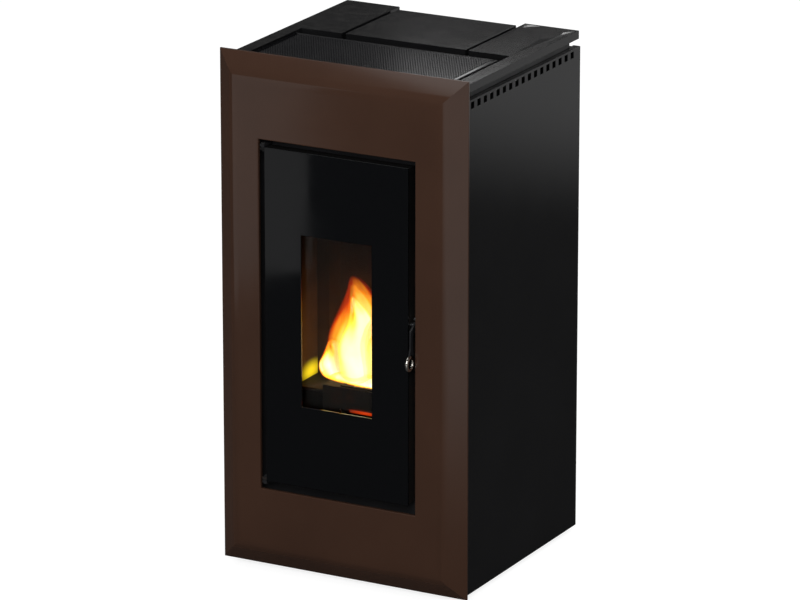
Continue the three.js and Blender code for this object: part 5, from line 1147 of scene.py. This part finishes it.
@dataclass
class Hopper:
    """The hopper with its lid, gasket, pins and finger grid."""

    lid_edge: float = 1.4 * MM

    def build(self) -> None:
        """Dresses the hopper and its lid."""
        refine("hopper", Finishes.zinc, 0.4 * MM)
        refine("hopper_grid", Finishes.zinc, 0.5 * MM)
        refine("hopper_lid", Finishes.satin, self.lid_edge, segments=3)
        refine("lid_gasket", Finishes.rubber, 1.5 * MM, segments=3)
        for side in ("left", "right"):
            refine(f"lid_pin_{side}", Finishes.zinc, 0.3 * MM, sharp=40.0)


@dataclass
class FireDoor:
    """The glazed fire door with its frame, rope seal, hinge pins and latch."""

    pane_edge: float = 0.9 * MM
    rope_steps: int = 900
    rope_sides: int = 20
    rope_half_width: float = 6.7 * MM
    rope_corner: float = 14.0 * MM
    rope_twists: int = 160
    strand_relief: float = 0.05
    ring_half_width: float = 4.0 * MM
    ring_steps: int = 72
    section_steps: int = 28

    def rope_path(
        self, low: Sequence[float], high: Sequence[float], inset: float
    ) -> tuple[np.ndarray, np.ndarray]:
        """Centre line of the rope: a rectangle with round corners in the plane of X and Z.

        Each straight is a plain interpolation and each corner a quarter circle. The outward
        direction turns with the corner.

        Args:
            low, high: the seal's corners.
            inset: how far the centre line lies inside them.

        Returns:
            The points and the outward unit vectors, both as (x, z).
        """
        radius = self.rope_corner
        centre = np.array([(low[0] + high[0]) / 2.0, (low[2] + high[2]) / 2.0])
        half = np.array([(high[0] - low[0]) / 2.0, (high[2] - low[2]) / 2.0]) - inset - radius
        turns = np.linspace(0.0, 2.0 * math.pi, self.rope_steps, endpoint=False)
        arc = math.pi * radius / 2.0
        lengths = np.array([2.0 * half[1], arc, 2.0 * half[0], arc])
        around = np.concatenate([[0.0], np.cumsum(np.tile(lengths, 2))])
        place = turns / (2.0 * math.pi) * around[-1]
        leg = np.searchsorted(around, place, side="right") - 1
        share = (place - around[leg]) / (around[leg + 1] - around[leg])
        quarter = (leg // 2) * math.pi / 2.0
        straight = leg % 2 == 0
        angle = np.where(straight, quarter, quarter + share * math.pi / 2.0)
        outward = np.stack([np.cos(angle), np.sin(angle)], axis=-1)
        corner_index = np.where(straight, leg // 2, (leg // 2) % 4)
        corners = half * np.array([(1.0, 1.0), (-1.0, 1.0), (-1.0, -1.0), (1.0, -1.0)])
        ending = corners[corner_index % 4]
        starting = corners[(corner_index - 1) % 4]
        hub = np.where(straight[:, None], starting + (ending - starting) * share[:, None], ending)
        return centre + hub + radius * outward, outward

    def seal(self) -> None:
        """The rope seal: an ellipse carried round the door, ridged by its twisted strands.

        The radius at turn a and distance s is 1 minus a relief times the absolute sine of three
        times a plus the twist, so that the strands run round it in a helix.
        """
        low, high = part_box("door_seal")
        width = self.rope_half_width
        depth = (high[1] - low[1]) / 2.0
        path, outward = self.rope_path(low, high, width)
        around = np.linspace(0.0, 2.0 * math.pi, self.rope_sides, endpoint=False)
        twist = np.linspace(0.0, 2.0 * math.pi * self.rope_twists, self.rope_steps, endpoint=False)
        ridge = 1.0 - self.strand_relief * np.abs(np.sin(3.0 * around[None, :] + twist[:, None]))
        across = width * ridge * np.cos(around)[None, :]
        back = depth * ridge * np.sin(around)[None, :]
        points = np.zeros((self.rope_steps, self.rope_sides, 3))
        points[..., 0] = path[:, 0][:, None] + outward[:, 0][:, None] * across
        points[..., 2] = path[:, 1][:, None] + outward[:, 1][:, None] * across
        points[..., 1] = (low[1] + high[1]) / 2.0 + back
        shape = Shape()
        shape.add(points, grid_faces(self.rope_steps, self.rope_sides, True, True))
        rope = shape.piece("rope_seal", Finishes.rope, "door", ["door_seal"], sharp=80.0)
        self.unwrap(rope, points)

    def unwrap(self, rope: bpy.types.Object, points: np.ndarray) -> None:
        """Gives the rope a UV map: metres along it and turns round it, by nearest grid point."""
        mesh = rope.data
        steps, sides = points.shape[:2]
        corner = np.zeros(len(mesh.loops), dtype=np.int64)
        mesh.loops.foreach_get("vertex_index", corner)
        place = np.zeros(len(mesh.vertices) * 3)
        mesh.vertices.foreach_get("co", place)
        line = points.mean(axis=1)
        lengths = np.linalg.norm(np.diff(line, axis=0, append=line[:1]), axis=1)
        along = np.concatenate([[0.0], np.cumsum(lengths)[:-1]])
        places = np.round(points.reshape(-1, 3), 6).tolist()
        order = {tuple(key): index for index, key in enumerate(places)}
        keys = np.round(place.reshape(-1, 3), 6).tolist()
        number = np.array([order.get(tuple(key), 0) for key in keys])
        u = along[number // sides][corner]
        v = (number % sides / sides)[corner]
        layer = mesh.uv_layers.new(name="strands")
        layer.data.foreach_set("uv", np.stack([u, v], axis=-1).astype(np.float32).ravel())

    def ring(self) -> None:
        """The polished pull ring: an oval section turned about the lever's sideways axis."""
        low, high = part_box("lever_ring")
        centre = tuple((a + b) / 2.0 for a, b in zip(low, high))
        outer = (high[2] - low[2]) / 2.0
        half_width, half_thickness = self.ring_half_width, (high[0] - low[0]) / 2.0
        turn = np.linspace(0.0, 2.0 * math.pi, self.section_steps, endpoint=False)
        section = np.stack(
            [outer - half_width + half_width * np.cos(turn), half_thickness * np.sin(turn)], axis=-1
        )
        shape = Shape()
        shape.add(*revolve(section, centre, 0, self.ring_steps))
        shape.piece("pull_ring", Finishes.polished, "lever", ["lever_ring"])

    def build(self) -> None:
        """Dresses the door and makes its rope and ring."""
        refine("door_glass", Finishes.printed_glass, self.pane_edge, segments=3)
        refine("fire_glass", Finishes.clear_glass, 0.0)
        refine("door_frame", Finishes.door_iron, 1.0 * MM)
        for place in ("upper", "lower"):
            refine(f"hinge_pin_{place}", Finishes.matt, 0.3 * MM, sharp=40.0)
        refine("lever_pin", Finishes.zinc, 0.3 * MM, sharp=40.0)
        refine("latch_catch", Finishes.zinc, 0.4 * MM, sharp=40.0)
        refine("door_lever", Finishes.matt, 0.7 * MM, segments=3)
        self.seal()
        self.ring()


@dataclass(frozen=True)
class Tongue:
    """One tongue of flame: its form, then how warm, solid and bright it is."""

    offset: Vec
    width: float
    depth: float
    share: float  # of the whole fire's height
    lean: float
    phase: float
    warmth: float
    solidity: float
    strength: float = 2.0

    def skin(self, centre: Vec, full_height: float) -> np.ndarray:
        """An ellipse that swells, then narrows to a tip as it climbs.

        At share t of its height the half width is its greatest width times
        sin(pi * t ** 0.7) ** 0.6 plus a stub at the root, the centre leans by lean * t ** 2 and
        wavers as a sine that grows with t.

        Args:
            centre: the middle of the fire's root.
            full_height: how tall the whole fire is.

        Returns:
            The points of its skin, ring by ring.
        """
        root = np.add(centre, self.offset)
        height = self.share * full_height
        rise = np.linspace(0.0, 1.0, 48)[:, None]
        turn = np.linspace(0.0, 2.0 * math.pi, 36, endpoint=False)[None, :]
        swell = np.clip(np.sin(math.pi * rise**0.7), 0.0, 1.0) ** 0.6 + 0.45 * (1.0 - rise) ** 3
        swell = np.where(rise >= 1.0, 0.001, swell)
        waver = 0.06 * height * rise * np.sin(2.4 * math.pi * rise + self.phase)
        ruffle = 1.0 + 0.10 * rise * np.sin(5.0 * turn + 9.0 * rise + self.phase)
        x = root[0] + self.lean * rise**2 + waver + self.width * swell * ruffle * np.cos(turn)
        y = root[1] + 0.5 * waver + self.depth * swell * ruffle * np.sin(turn)
        z = root[2] + height * rise + 0.0 * turn
        return np.stack(np.broadcast_arrays(x, y, z), axis=-1)


@dataclass
class Fire:
    """The burning pellets in the pot and the flame over them, with the light that it gives."""

    centre: Vec = (-0.022, -0.124, 0.351)
    height: float = 0.203
    pellets: int = 150
    pellet_radius: float = 3.0 * MM
    pellet_length: float = 14.0 * MM
    pellet_rings: int = 6
    pellet_sides: int = 8
    pot_wall_clearance: float = 15.0 * MM
    bed_depth: float = 16.0 * MM
    dome_height: float = 13.0 * MM
    seed: int = 7
    light_power: float = 0.45
    light_radius: float = 30.0 * MM
    light_colour: Vec = (1.0, 0.52, 0.16)
    light_offset: Vec = (-0.01, -0.03, 0.07)

    tongues: tuple[Tongue, ...] = (
        Tongue((-0.006, 0.0, 0.0), 0.046, 0.032, 1.0, -0.004, 2.0, -0.24, 0.5),
        Tongue((-0.004, 0.0, 0.0), 0.038, 0.026, 0.92, -0.003, 2.3, 0.0, 0.6),
        Tongue((-0.004, 0.0, 0.0), 0.033, 0.020, 0.80, 0.0, 2.6, 0.2, 0.9, 6.0),
        Tongue((0.040, 0.008, 0.0), 0.046, 0.026, 0.82, 0.010, 1.4, -0.16, 0.6),
        Tongue((0.036, 0.006, 0.0), 0.034, 0.018, 0.64, 0.008, 1.1, 0.12, 0.8, 4.0),
        Tongue((-0.044, 0.006, -0.003), 0.034, 0.018, 0.38, -0.010, 2.6, 0.1, 0.8, 2.6),
        Tongue((0.010, 0.002, -0.004), 0.074, 0.022, 0.18, 0.0, 1.9, 0.05, 0.8, 3.0),
    )

    def flames(self) -> None:
        """Tongues nested in two groups, with a low one at the left and a wide one along the root."""
        for number, tongue in enumerate(self.tongues, start=1):
            skin = tongue.skin(self.centre, self.height)
            shape = Shape()
            shape.add(skin, grid_faces(*skin.shape[:2], False, True))
            finish = Flame(
                f"flame_{number}", "fire_glass", srgb(255, 200, 80),
                base=self.centre[2] + tongue.offset[2], height=tongue.share * self.height,
                warmth=tongue.warmth, solidity=tongue.solidity, strength=tongue.strength,
            )
            shape.piece(f"flame_{number}", finish, "pot", sharp=180.0)

    def bed(self) -> None:
        """Burning pellets heaped in the pot.

        A pellet is a short rod whose radius follows the fourth root of one minus the fourth power
        of the distance from its middle. Centres are scattered evenly over the pot and raised by a
        low dome; each is turned at random about two axes.
        """
        random = np.random.default_rng(self.seed)
        low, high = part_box("burn_pot")
        middle = np.array([(low[0] + high[0]) / 2.0, (low[1] + high[1]) / 2.0])
        reach = np.array([high[0] - low[0], high[1] - low[1]]) / 2.0 - self.pot_wall_clearance
        place = random.uniform(-1.0, 1.0, (self.pellets, 2))
        dome = 1.0 - 0.5 * (place**2).sum(axis=1)
        level = high[2] - self.bed_depth + self.dome_height * dome
        centre = np.concatenate([middle + place * reach, level[:, None]], axis=1)
        share = np.linspace(-1.0, 1.0, self.pellet_rings)[:, None]
        turn = np.linspace(0.0, 2.0 * math.pi, self.pellet_sides, endpoint=False)[None, :]
        radius = self.pellet_radius * np.maximum(1.0 - share**4, 0.0) ** 0.25 + TOLERANCE
        along = share * self.pellet_length / 2.0
        round_it = (radius * np.cos(turn), radius * np.sin(turn), along)
        rod = np.stack(np.broadcast_arrays(*round_it), axis=-1).reshape(-1, 3)
        yaw = random.uniform(0.0, 2.0 * math.pi, self.pellets)
        pitch = random.uniform(0.25, 0.5, self.pellets) * math.pi
        zero, one = np.zeros_like(yaw), np.ones_like(yaw)
        spin = np.array([
            [np.cos(yaw), -np.sin(yaw), zero],
            [np.sin(yaw), np.cos(yaw), zero],
            [zero, zero, one],
        ])
        tip = np.array([
            [np.cos(pitch), zero, np.sin(pitch)],
            [zero, one, zero],
            [-np.sin(pitch), zero, np.cos(pitch)],
        ])
        turnings = np.einsum("ijp,jkp->pik", spin, tip)
        points = np.einsum("pij,vj->pvi", turnings, rod) + centre[:, None, :]
        faces = grid_faces(self.pellet_rings, self.pellet_sides, False, True)
        size = len(rod)
        numbers = (faces[None] + (np.arange(self.pellets) * size)[:, None, None]).reshape(-1, 4)
        shape = Shape()
        shape.add(points.reshape(-1, 3), numbers)
        embers = Embers("embers", "vermiculite", srgb(60, 52, 46))
        shape.piece("burning_pellets", embers, "pot", sharp=180.0)

    def light(self) -> None:
        """The light of the flame on the firebox round it."""
        lamp = bpy.data.lights.new("fire_light", "POINT")
        lamp.energy = self.light_power
        lamp.color = self.light_colour
        lamp.shadow_soft_size = self.light_radius
        holder = bpy.data.objects.new("fire_light", lamp)
        holder.location = np.add(self.centre, self.light_offset)
        holder.visible_camera = False
        holder.visible_glossy = False
        holder.visible_transmission = False
        bpy.context.scene.collection.objects.link(holder)

    def build(self) -> None:
        """Makes the fire."""
        self.bed()
        self.flames()
        self.light()


@dataclass
class Firebox:
    """The steel firebox and what stands in it."""

    # Painted light: emission patches for the flame's light on the left liner and the embers' light on the
    # shelf and pot.
    painted_flame_light: PaintedGlow = PaintedGlow((-0.131, -0.106, 0.352), (0.03, 0.05, 0.026), srgb(255, 222, 24), 1.3)
    painted_ember_light: PaintedGlow = PaintedGlow((0.004, -0.150, 0.303), (0.05, 0.03, 0.014), srgb(236, 70, 16), 0.9)

    def build(self) -> None:
        """Dresses the shell, liners, baffle, shelf, pot and ash drawer."""
        refine("firebox_shell", Finishes.iron, 0.5 * MM)
        plain = Board("refractory_board", "vermiculite", srgb(50, 37, 28), roughness=0.95)
        # Painted light: the left liner's board is a lighter, lit copy of the plain board, with a painted
        # patch of flame light.
        warm = Board(
            "refractory_board_lit", "vermiculite", srgb(66, 50, 38), roughness=0.95,
            glow=self.painted_flame_light,
        )
        # Painted light: the shelf and pot carry a painted patch of ember glow as emission.
        painted_ember_glow_iron = Cast("painted_ember_glow_iron", "cast_iron", srgb(27, 24, 22), roughness=0.8, glow=self.painted_ember_light)
        refine("back_liner", plain, 0.8 * MM)
        refine("left_liner", warm, 0.8 * MM)
        refine("right_liner", plain, 0.8 * MM)
        refine("baffle_plate", Finishes.iron, 0.8 * MM)
        refine("pot_shelf", painted_ember_glow_iron, 0.9 * MM)
        refine("burn_pot", painted_ember_glow_iron, 0.4 * MM, sharp=40.0)
        refine("ash_drawer", Finishes.hot_zinc, 0.4 * MM)


@dataclass
class FeedLine:
    """Auger, its tube and gearmotor, and the chute to the pot."""

    def build(self) -> None:
        """Dresses the feed line."""
        refine("pellet_chute", Finishes.hot_zinc, 0.4 * MM)
        refine("auger_tube", Finishes.zinc, 0.4 * MM, sharp=40.0)
        refine("auger_screw", Finishes.zinc, 0.0, sharp=50.0)
        refine("auger_bush", Finishes.zinc, 0.3 * MM, sharp=40.0)
        refine("auger_gearmotor", Finishes.motor, 1.2 * MM, segments=3, sharp=40.0)
        refine("igniter", Finishes.hot_zinc, 0.3 * MM, sharp=40.0)


@dataclass
class SmokePath:
    """Smoke duct, exhaust fan, flue spigot and combustion-air pipe."""

    wall: float = 1.5 * MM
    flange_thickness: float = 2.0 * MM
    bead: float = 1.4 * MM

    def pipe(self, name: str, node: str, radius: float, finish: Finish, bead_at: float) -> None:
        """A round flanged pipe along Y with a stiffening bead rolled into it.

        Args:
            name: the piece's name.
            node: the CAD node that it stands for.
            radius: the pipe's outer radius.
            finish: its finish.
            bead_at: how far the bead lies from the open end.
        """
        low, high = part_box(node)
        flange = (high[0] - low[0]) / 2.0
        centre = ((low[0] + high[0]) / 2.0, 0.0, (low[2] + high[2]) / 2.0)
        start, end, inner = low[1], high[1], radius - self.wall
        ridge = end - bead_at
        section = rounded(
            [
                (inner, start), (flange, start), (flange, start + self.flange_thickness),
                (radius, start + self.flange_thickness), (radius, ridge - 3.0 * self.bead),
                (radius + self.bead, ridge), (radius, ridge + 3.0 * self.bead),
                (radius, end), (inner, end),
            ],
            [0.0, 0.4 * MM, 0.4 * MM, 0.8 * MM, 3.0 * MM, 3.0 * MM, 3.0 * MM, 0.5 * MM, 0.0],
        )
        shape = Shape()
        shape.add(*revolve(section, centre, 1, 96))
        shape.piece(name, finish, "stove", [node], sharp=40.0)

    def build(self) -> None:
        """Dresses the smoke path."""
        refine("smoke_duct", Finishes.hot_zinc, 0.5 * MM)
        refine("exhaust_fan_housing", Finishes.zinc, 0.6 * MM)
        refine("exhaust_fan_impeller", Finishes.hot_zinc, 0.3 * MM)
        refine("exhaust_fan_motor", Finishes.motor, 1.5 * MM, segments=3, sharp=40.0)
        self.pipe("flue_pipe", "flue_spigot", 40.0 * MM, Finishes.matt, 26.0 * MM)
        self.pipe("intake_pipe", "air_intake_pipe", 25.0 * MM, Finishes.zinc, 22.0 * MM)


@dataclass
class RoomAir:
    """Cross-flow fan under the hopper and the hood over the firebox."""

    def build(self) -> None:
        """Dresses the room-air parts."""
        refine("room_fan_housing", Finishes.zinc, 0.5 * MM)
        refine("room_fan_rotor", Finishes.zinc, 0.2 * MM)
        refine("room_fan_motor", Finishes.motor, 1.2 * MM, segments=3, sharp=40.0)
        refine("air_hood", Finishes.zinc, 0.4 * MM)


@dataclass
class Electrics:
    """Control board, mains inlet, switch and safety thermostat."""

    board_thickness: float = 2.0 * MM
    standoff: float = 8.0 * MM

    def build(self) -> None:
        """Dresses the electrics."""
        low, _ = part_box("control_board")
        face = low[0] + self.standoff + self.board_thickness
        board = CircuitBoard("circuit_board", "circuit", srgb(28, 84, 50), roughness=0.35, face_x=face)
        refine("control_board", board, 0.4 * MM)
        refine("power_inlet", Finishes.plastic, 0.6 * MM)
        refine("power_switch", Finishes.red_plastic, 0.6 * MM, segments=3)
        refine("safety_thermostat", Finishes.plastic, 0.8 * MM, sharp=40.0)
        refine("reset_button", Finishes.red_plastic, 0.8 * MM, segments=3, sharp=40.0)


@dataclass
class Lamp:
    """One soft studio light: a rectangle that faces a point."""

    name: str
    place: Vec
    aim: Vec
    size: tuple[float, float]
    power: float

    def build(self) -> None:
        """Hangs the light; the camera doesn't see it, but glossy surfaces do."""
        data = bpy.data.lights.new(self.name, "AREA")
        data.shape = "RECTANGLE"
        data.size, data.size_y = self.size
        data.energy = self.power
        holder = bpy.data.objects.new(self.name, data)
        holder.location = self.place
        way = np.subtract(self.aim, self.place)
        yaw = math.atan2(way[1], way[0]) - math.pi / 2.0
        tilt = math.atan2(math.hypot(way[0], way[1]), -way[2])
        holder.rotation_euler = (tilt, 0.0, yaw)
        holder.visible_camera = False
        bpy.context.scene.collection.objects.link(holder)


@dataclass
class Studio:
    """Camera, pale floor, backdrop and soft lights."""

    lens: float = 248.95
    sensor: float = 36.0
    yaw: float = 28.379
    elevation: float = 17.258
    eye: Vec = (4.5621, -8.4544, 3.4604)
    floor_size: float = 30.0
    floor_tone: float = 0.3
    mirrored_floor_tone: float = 0.03
    near_glow: float = 0.02
    far_glow: float = 0.45
    far_range: tuple[float, float] = (2.0, 3.0)
    patch_glow: float = 0.45
    patch_range: tuple[float, float] = (0.3, 1.1)
    camera_glow: float = 0.85
    glow_through_glass: float = 0.6
    world_light: float = 0.5
    world_light_mirrored: float = 0.05

    def camera(self) -> None:
        """The camera at the photograph's viewpoint."""
        data = bpy.data.cameras.new("camera")
        data.lens = self.lens
        data.sensor_width = self.sensor
        data.clip_end = 60.0
        holder = bpy.data.objects.new("camera", data)
        holder.location = self.eye
        holder.rotation_euler = (math.radians(90.0 - self.elevation), 0.0, math.radians(self.yaw))
        bpy.context.scene.collection.objects.link(holder)
        bpy.context.scene.camera = holder

    def floor(self) -> None:
        """A pale floor that keeps the stove's shadow and shows white to the camera.

        Glossy surfaces see it dark near the stove, brighter far behind and ahead on the right.
        """
        half = self.floor_size / 2.0
        corners = [(-half, -half, 0.0), (half, -half, 0.0), (half, half, 0.0), (-half, half, 0.0)]
        mesh = bpy.data.meshes.new("studio_floor")
        mesh.from_pydata(corners, [], [(0, 1, 2, 3)])
        material = bpy.data.materials.new("studio_floor")
        material.use_nodes = True
        graph = Graph(material.node_tree)
        shader = material.node_tree.nodes["Principled BSDF"]
        path = graph.add("ShaderNodeLightPath")
        lit, unlit = shaded(WHITE, self.floor_tone), shaded(WHITE, self.mirrored_floor_tone)
        dimmed = graph.mix(path.outputs["Is Glossy Ray"], lit, unlit)
        graph.feed(shader, "Base Color", dimmed)
        graph.feed(shader, "Roughness", 0.9)
        graph.feed(shader, "Specular IOR Level", 0.0)
        parts = graph.add("ShaderNodeSeparateXYZ")
        graph.feed(parts, 0, graph.coordinates(Space.OBJECT))
        far = graph.add("ShaderNodeMapRange", clamp=True, interpolation_type="SMOOTHSTEP")
        for index, part in enumerate((parts.outputs["Y"], *self.far_range, self.near_glow, self.far_glow)):
            graph.feed(far, index, part)
        start, end = self.patch_range
        right = graph.spread(parts.outputs["X"], start, end)
        ahead = graph.spread(parts.outputs["Y"], -start, -end)
        patch = graph.maths("MULTIPLY", graph.maths("MULTIPLY", right, ahead), self.patch_glow)
        seen = graph.maths("MULTIPLY", path.outputs["Is Camera Ray"], self.camera_glow)
        pale = graph.maths("ADD", far.outputs[0], patch)
        mirrored = graph.maths("MULTIPLY", path.outputs["Is Glossy Ray"], pale)
        direct = graph.maths("LESS_THAN", path.outputs["Diffuse Depth"], 0.5)
        past_glass = graph.maths("MULTIPLY", path.outputs["Is Transmission Ray"], direct)
        through = graph.maths("MULTIPLY", past_glass, self.glow_through_glass)
        total = graph.maths("ADD", graph.maths("ADD", seen, mirrored), through)
        graph.feed(shader, "Emission Color", WHITE)
        graph.feed(shader, "Emission Strength", total)
        mesh.materials.append(material)
        floor = bpy.data.objects.new("studio_floor", mesh)
        bpy.context.scene.collection.objects.link(floor)

    def world(self) -> None:
        """White to the camera, a plain grey light to matt surfaces, nearly dark to glossy ones."""
        world = bpy.data.worlds.new("studio")
        world.use_nodes = True
        bpy.context.scene.world = world
        graph = Graph(world.node_tree)
        background = world.node_tree.nodes["Background"]
        path = graph.add("ShaderNodeLightPath")
        missing = 1.0 - self.world_light
        seen = graph.maths("MULTIPLY", path.outputs["Is Camera Ray"], missing)
        removed = self.world_light_mirrored - self.world_light
        mirrored = graph.maths("MULTIPLY", path.outputs["Is Glossy Ray"], removed)
        graph.feed(background, "Color", WHITE)
        direct = graph.maths("ADD", self.world_light, seen)
        graph.feed(background, "Strength", graph.maths("ADD", direct, mirrored))

    def lights(self) -> None:
        """Soft boxes in front, at the front left, overhead, behind, and fills behind and right."""
        heart = (0.0, 0.0, 0.5)
        lamps = (
            Lamp("front_left_box", (-1.34, -1.5, 0.62), (-0.1, -0.25, 0.6), (1.05, 1.2), 1.5),
            Lamp("key", (1.4, -4.9, 3.4), heart, (3.0, 3.0), 150.0),
            Lamp("overhead_box", (-0.7, -0.5, 2.7), heart, (1.5, 1.2), 7.0),
            Lamp("rear_box", (-0.45, 2.05, 1.94), (-0.1, 0.0, 0.95), (1.3, 0.5), 4.9),
            Lamp("rear_fill", (1.4, 4.4, 1.3), heart, (2.4, 2.0), 60.0),
            Lamp("right_fill", (3.6, -1.4, 1.6), (0.2, 0.0, 0.5), (1.4, 1.4), 12.0),
        )
        for lamp in lamps:
            lamp.build()

    def build(self) -> None:
        """Sets up the studio."""
        bpy.context.scene.view_settings.view_transform = "Standard"
        self.camera()
        self.floor()
        self.world()
        self.lights()


def main() -> None:
    """Builds the studio and every sub-assembly."""
    logging.basicConfig(level=logging.INFO, format="%(name)s %(message)s")
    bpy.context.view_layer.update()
    build_effects()
    assemblies = (
        Studio(), Casing(), Surround(), Grille(), Hopper(), FireDoor(), Firebox(), Fire(),
        FeedLine(), SmokePath(), RoomAir(), Electrics(),
    )
    for assembly in assemblies:
        assembly.build()
        LOG.info("%s done", type(assembly).__name__)


if __name__ == "__main__":
    main()
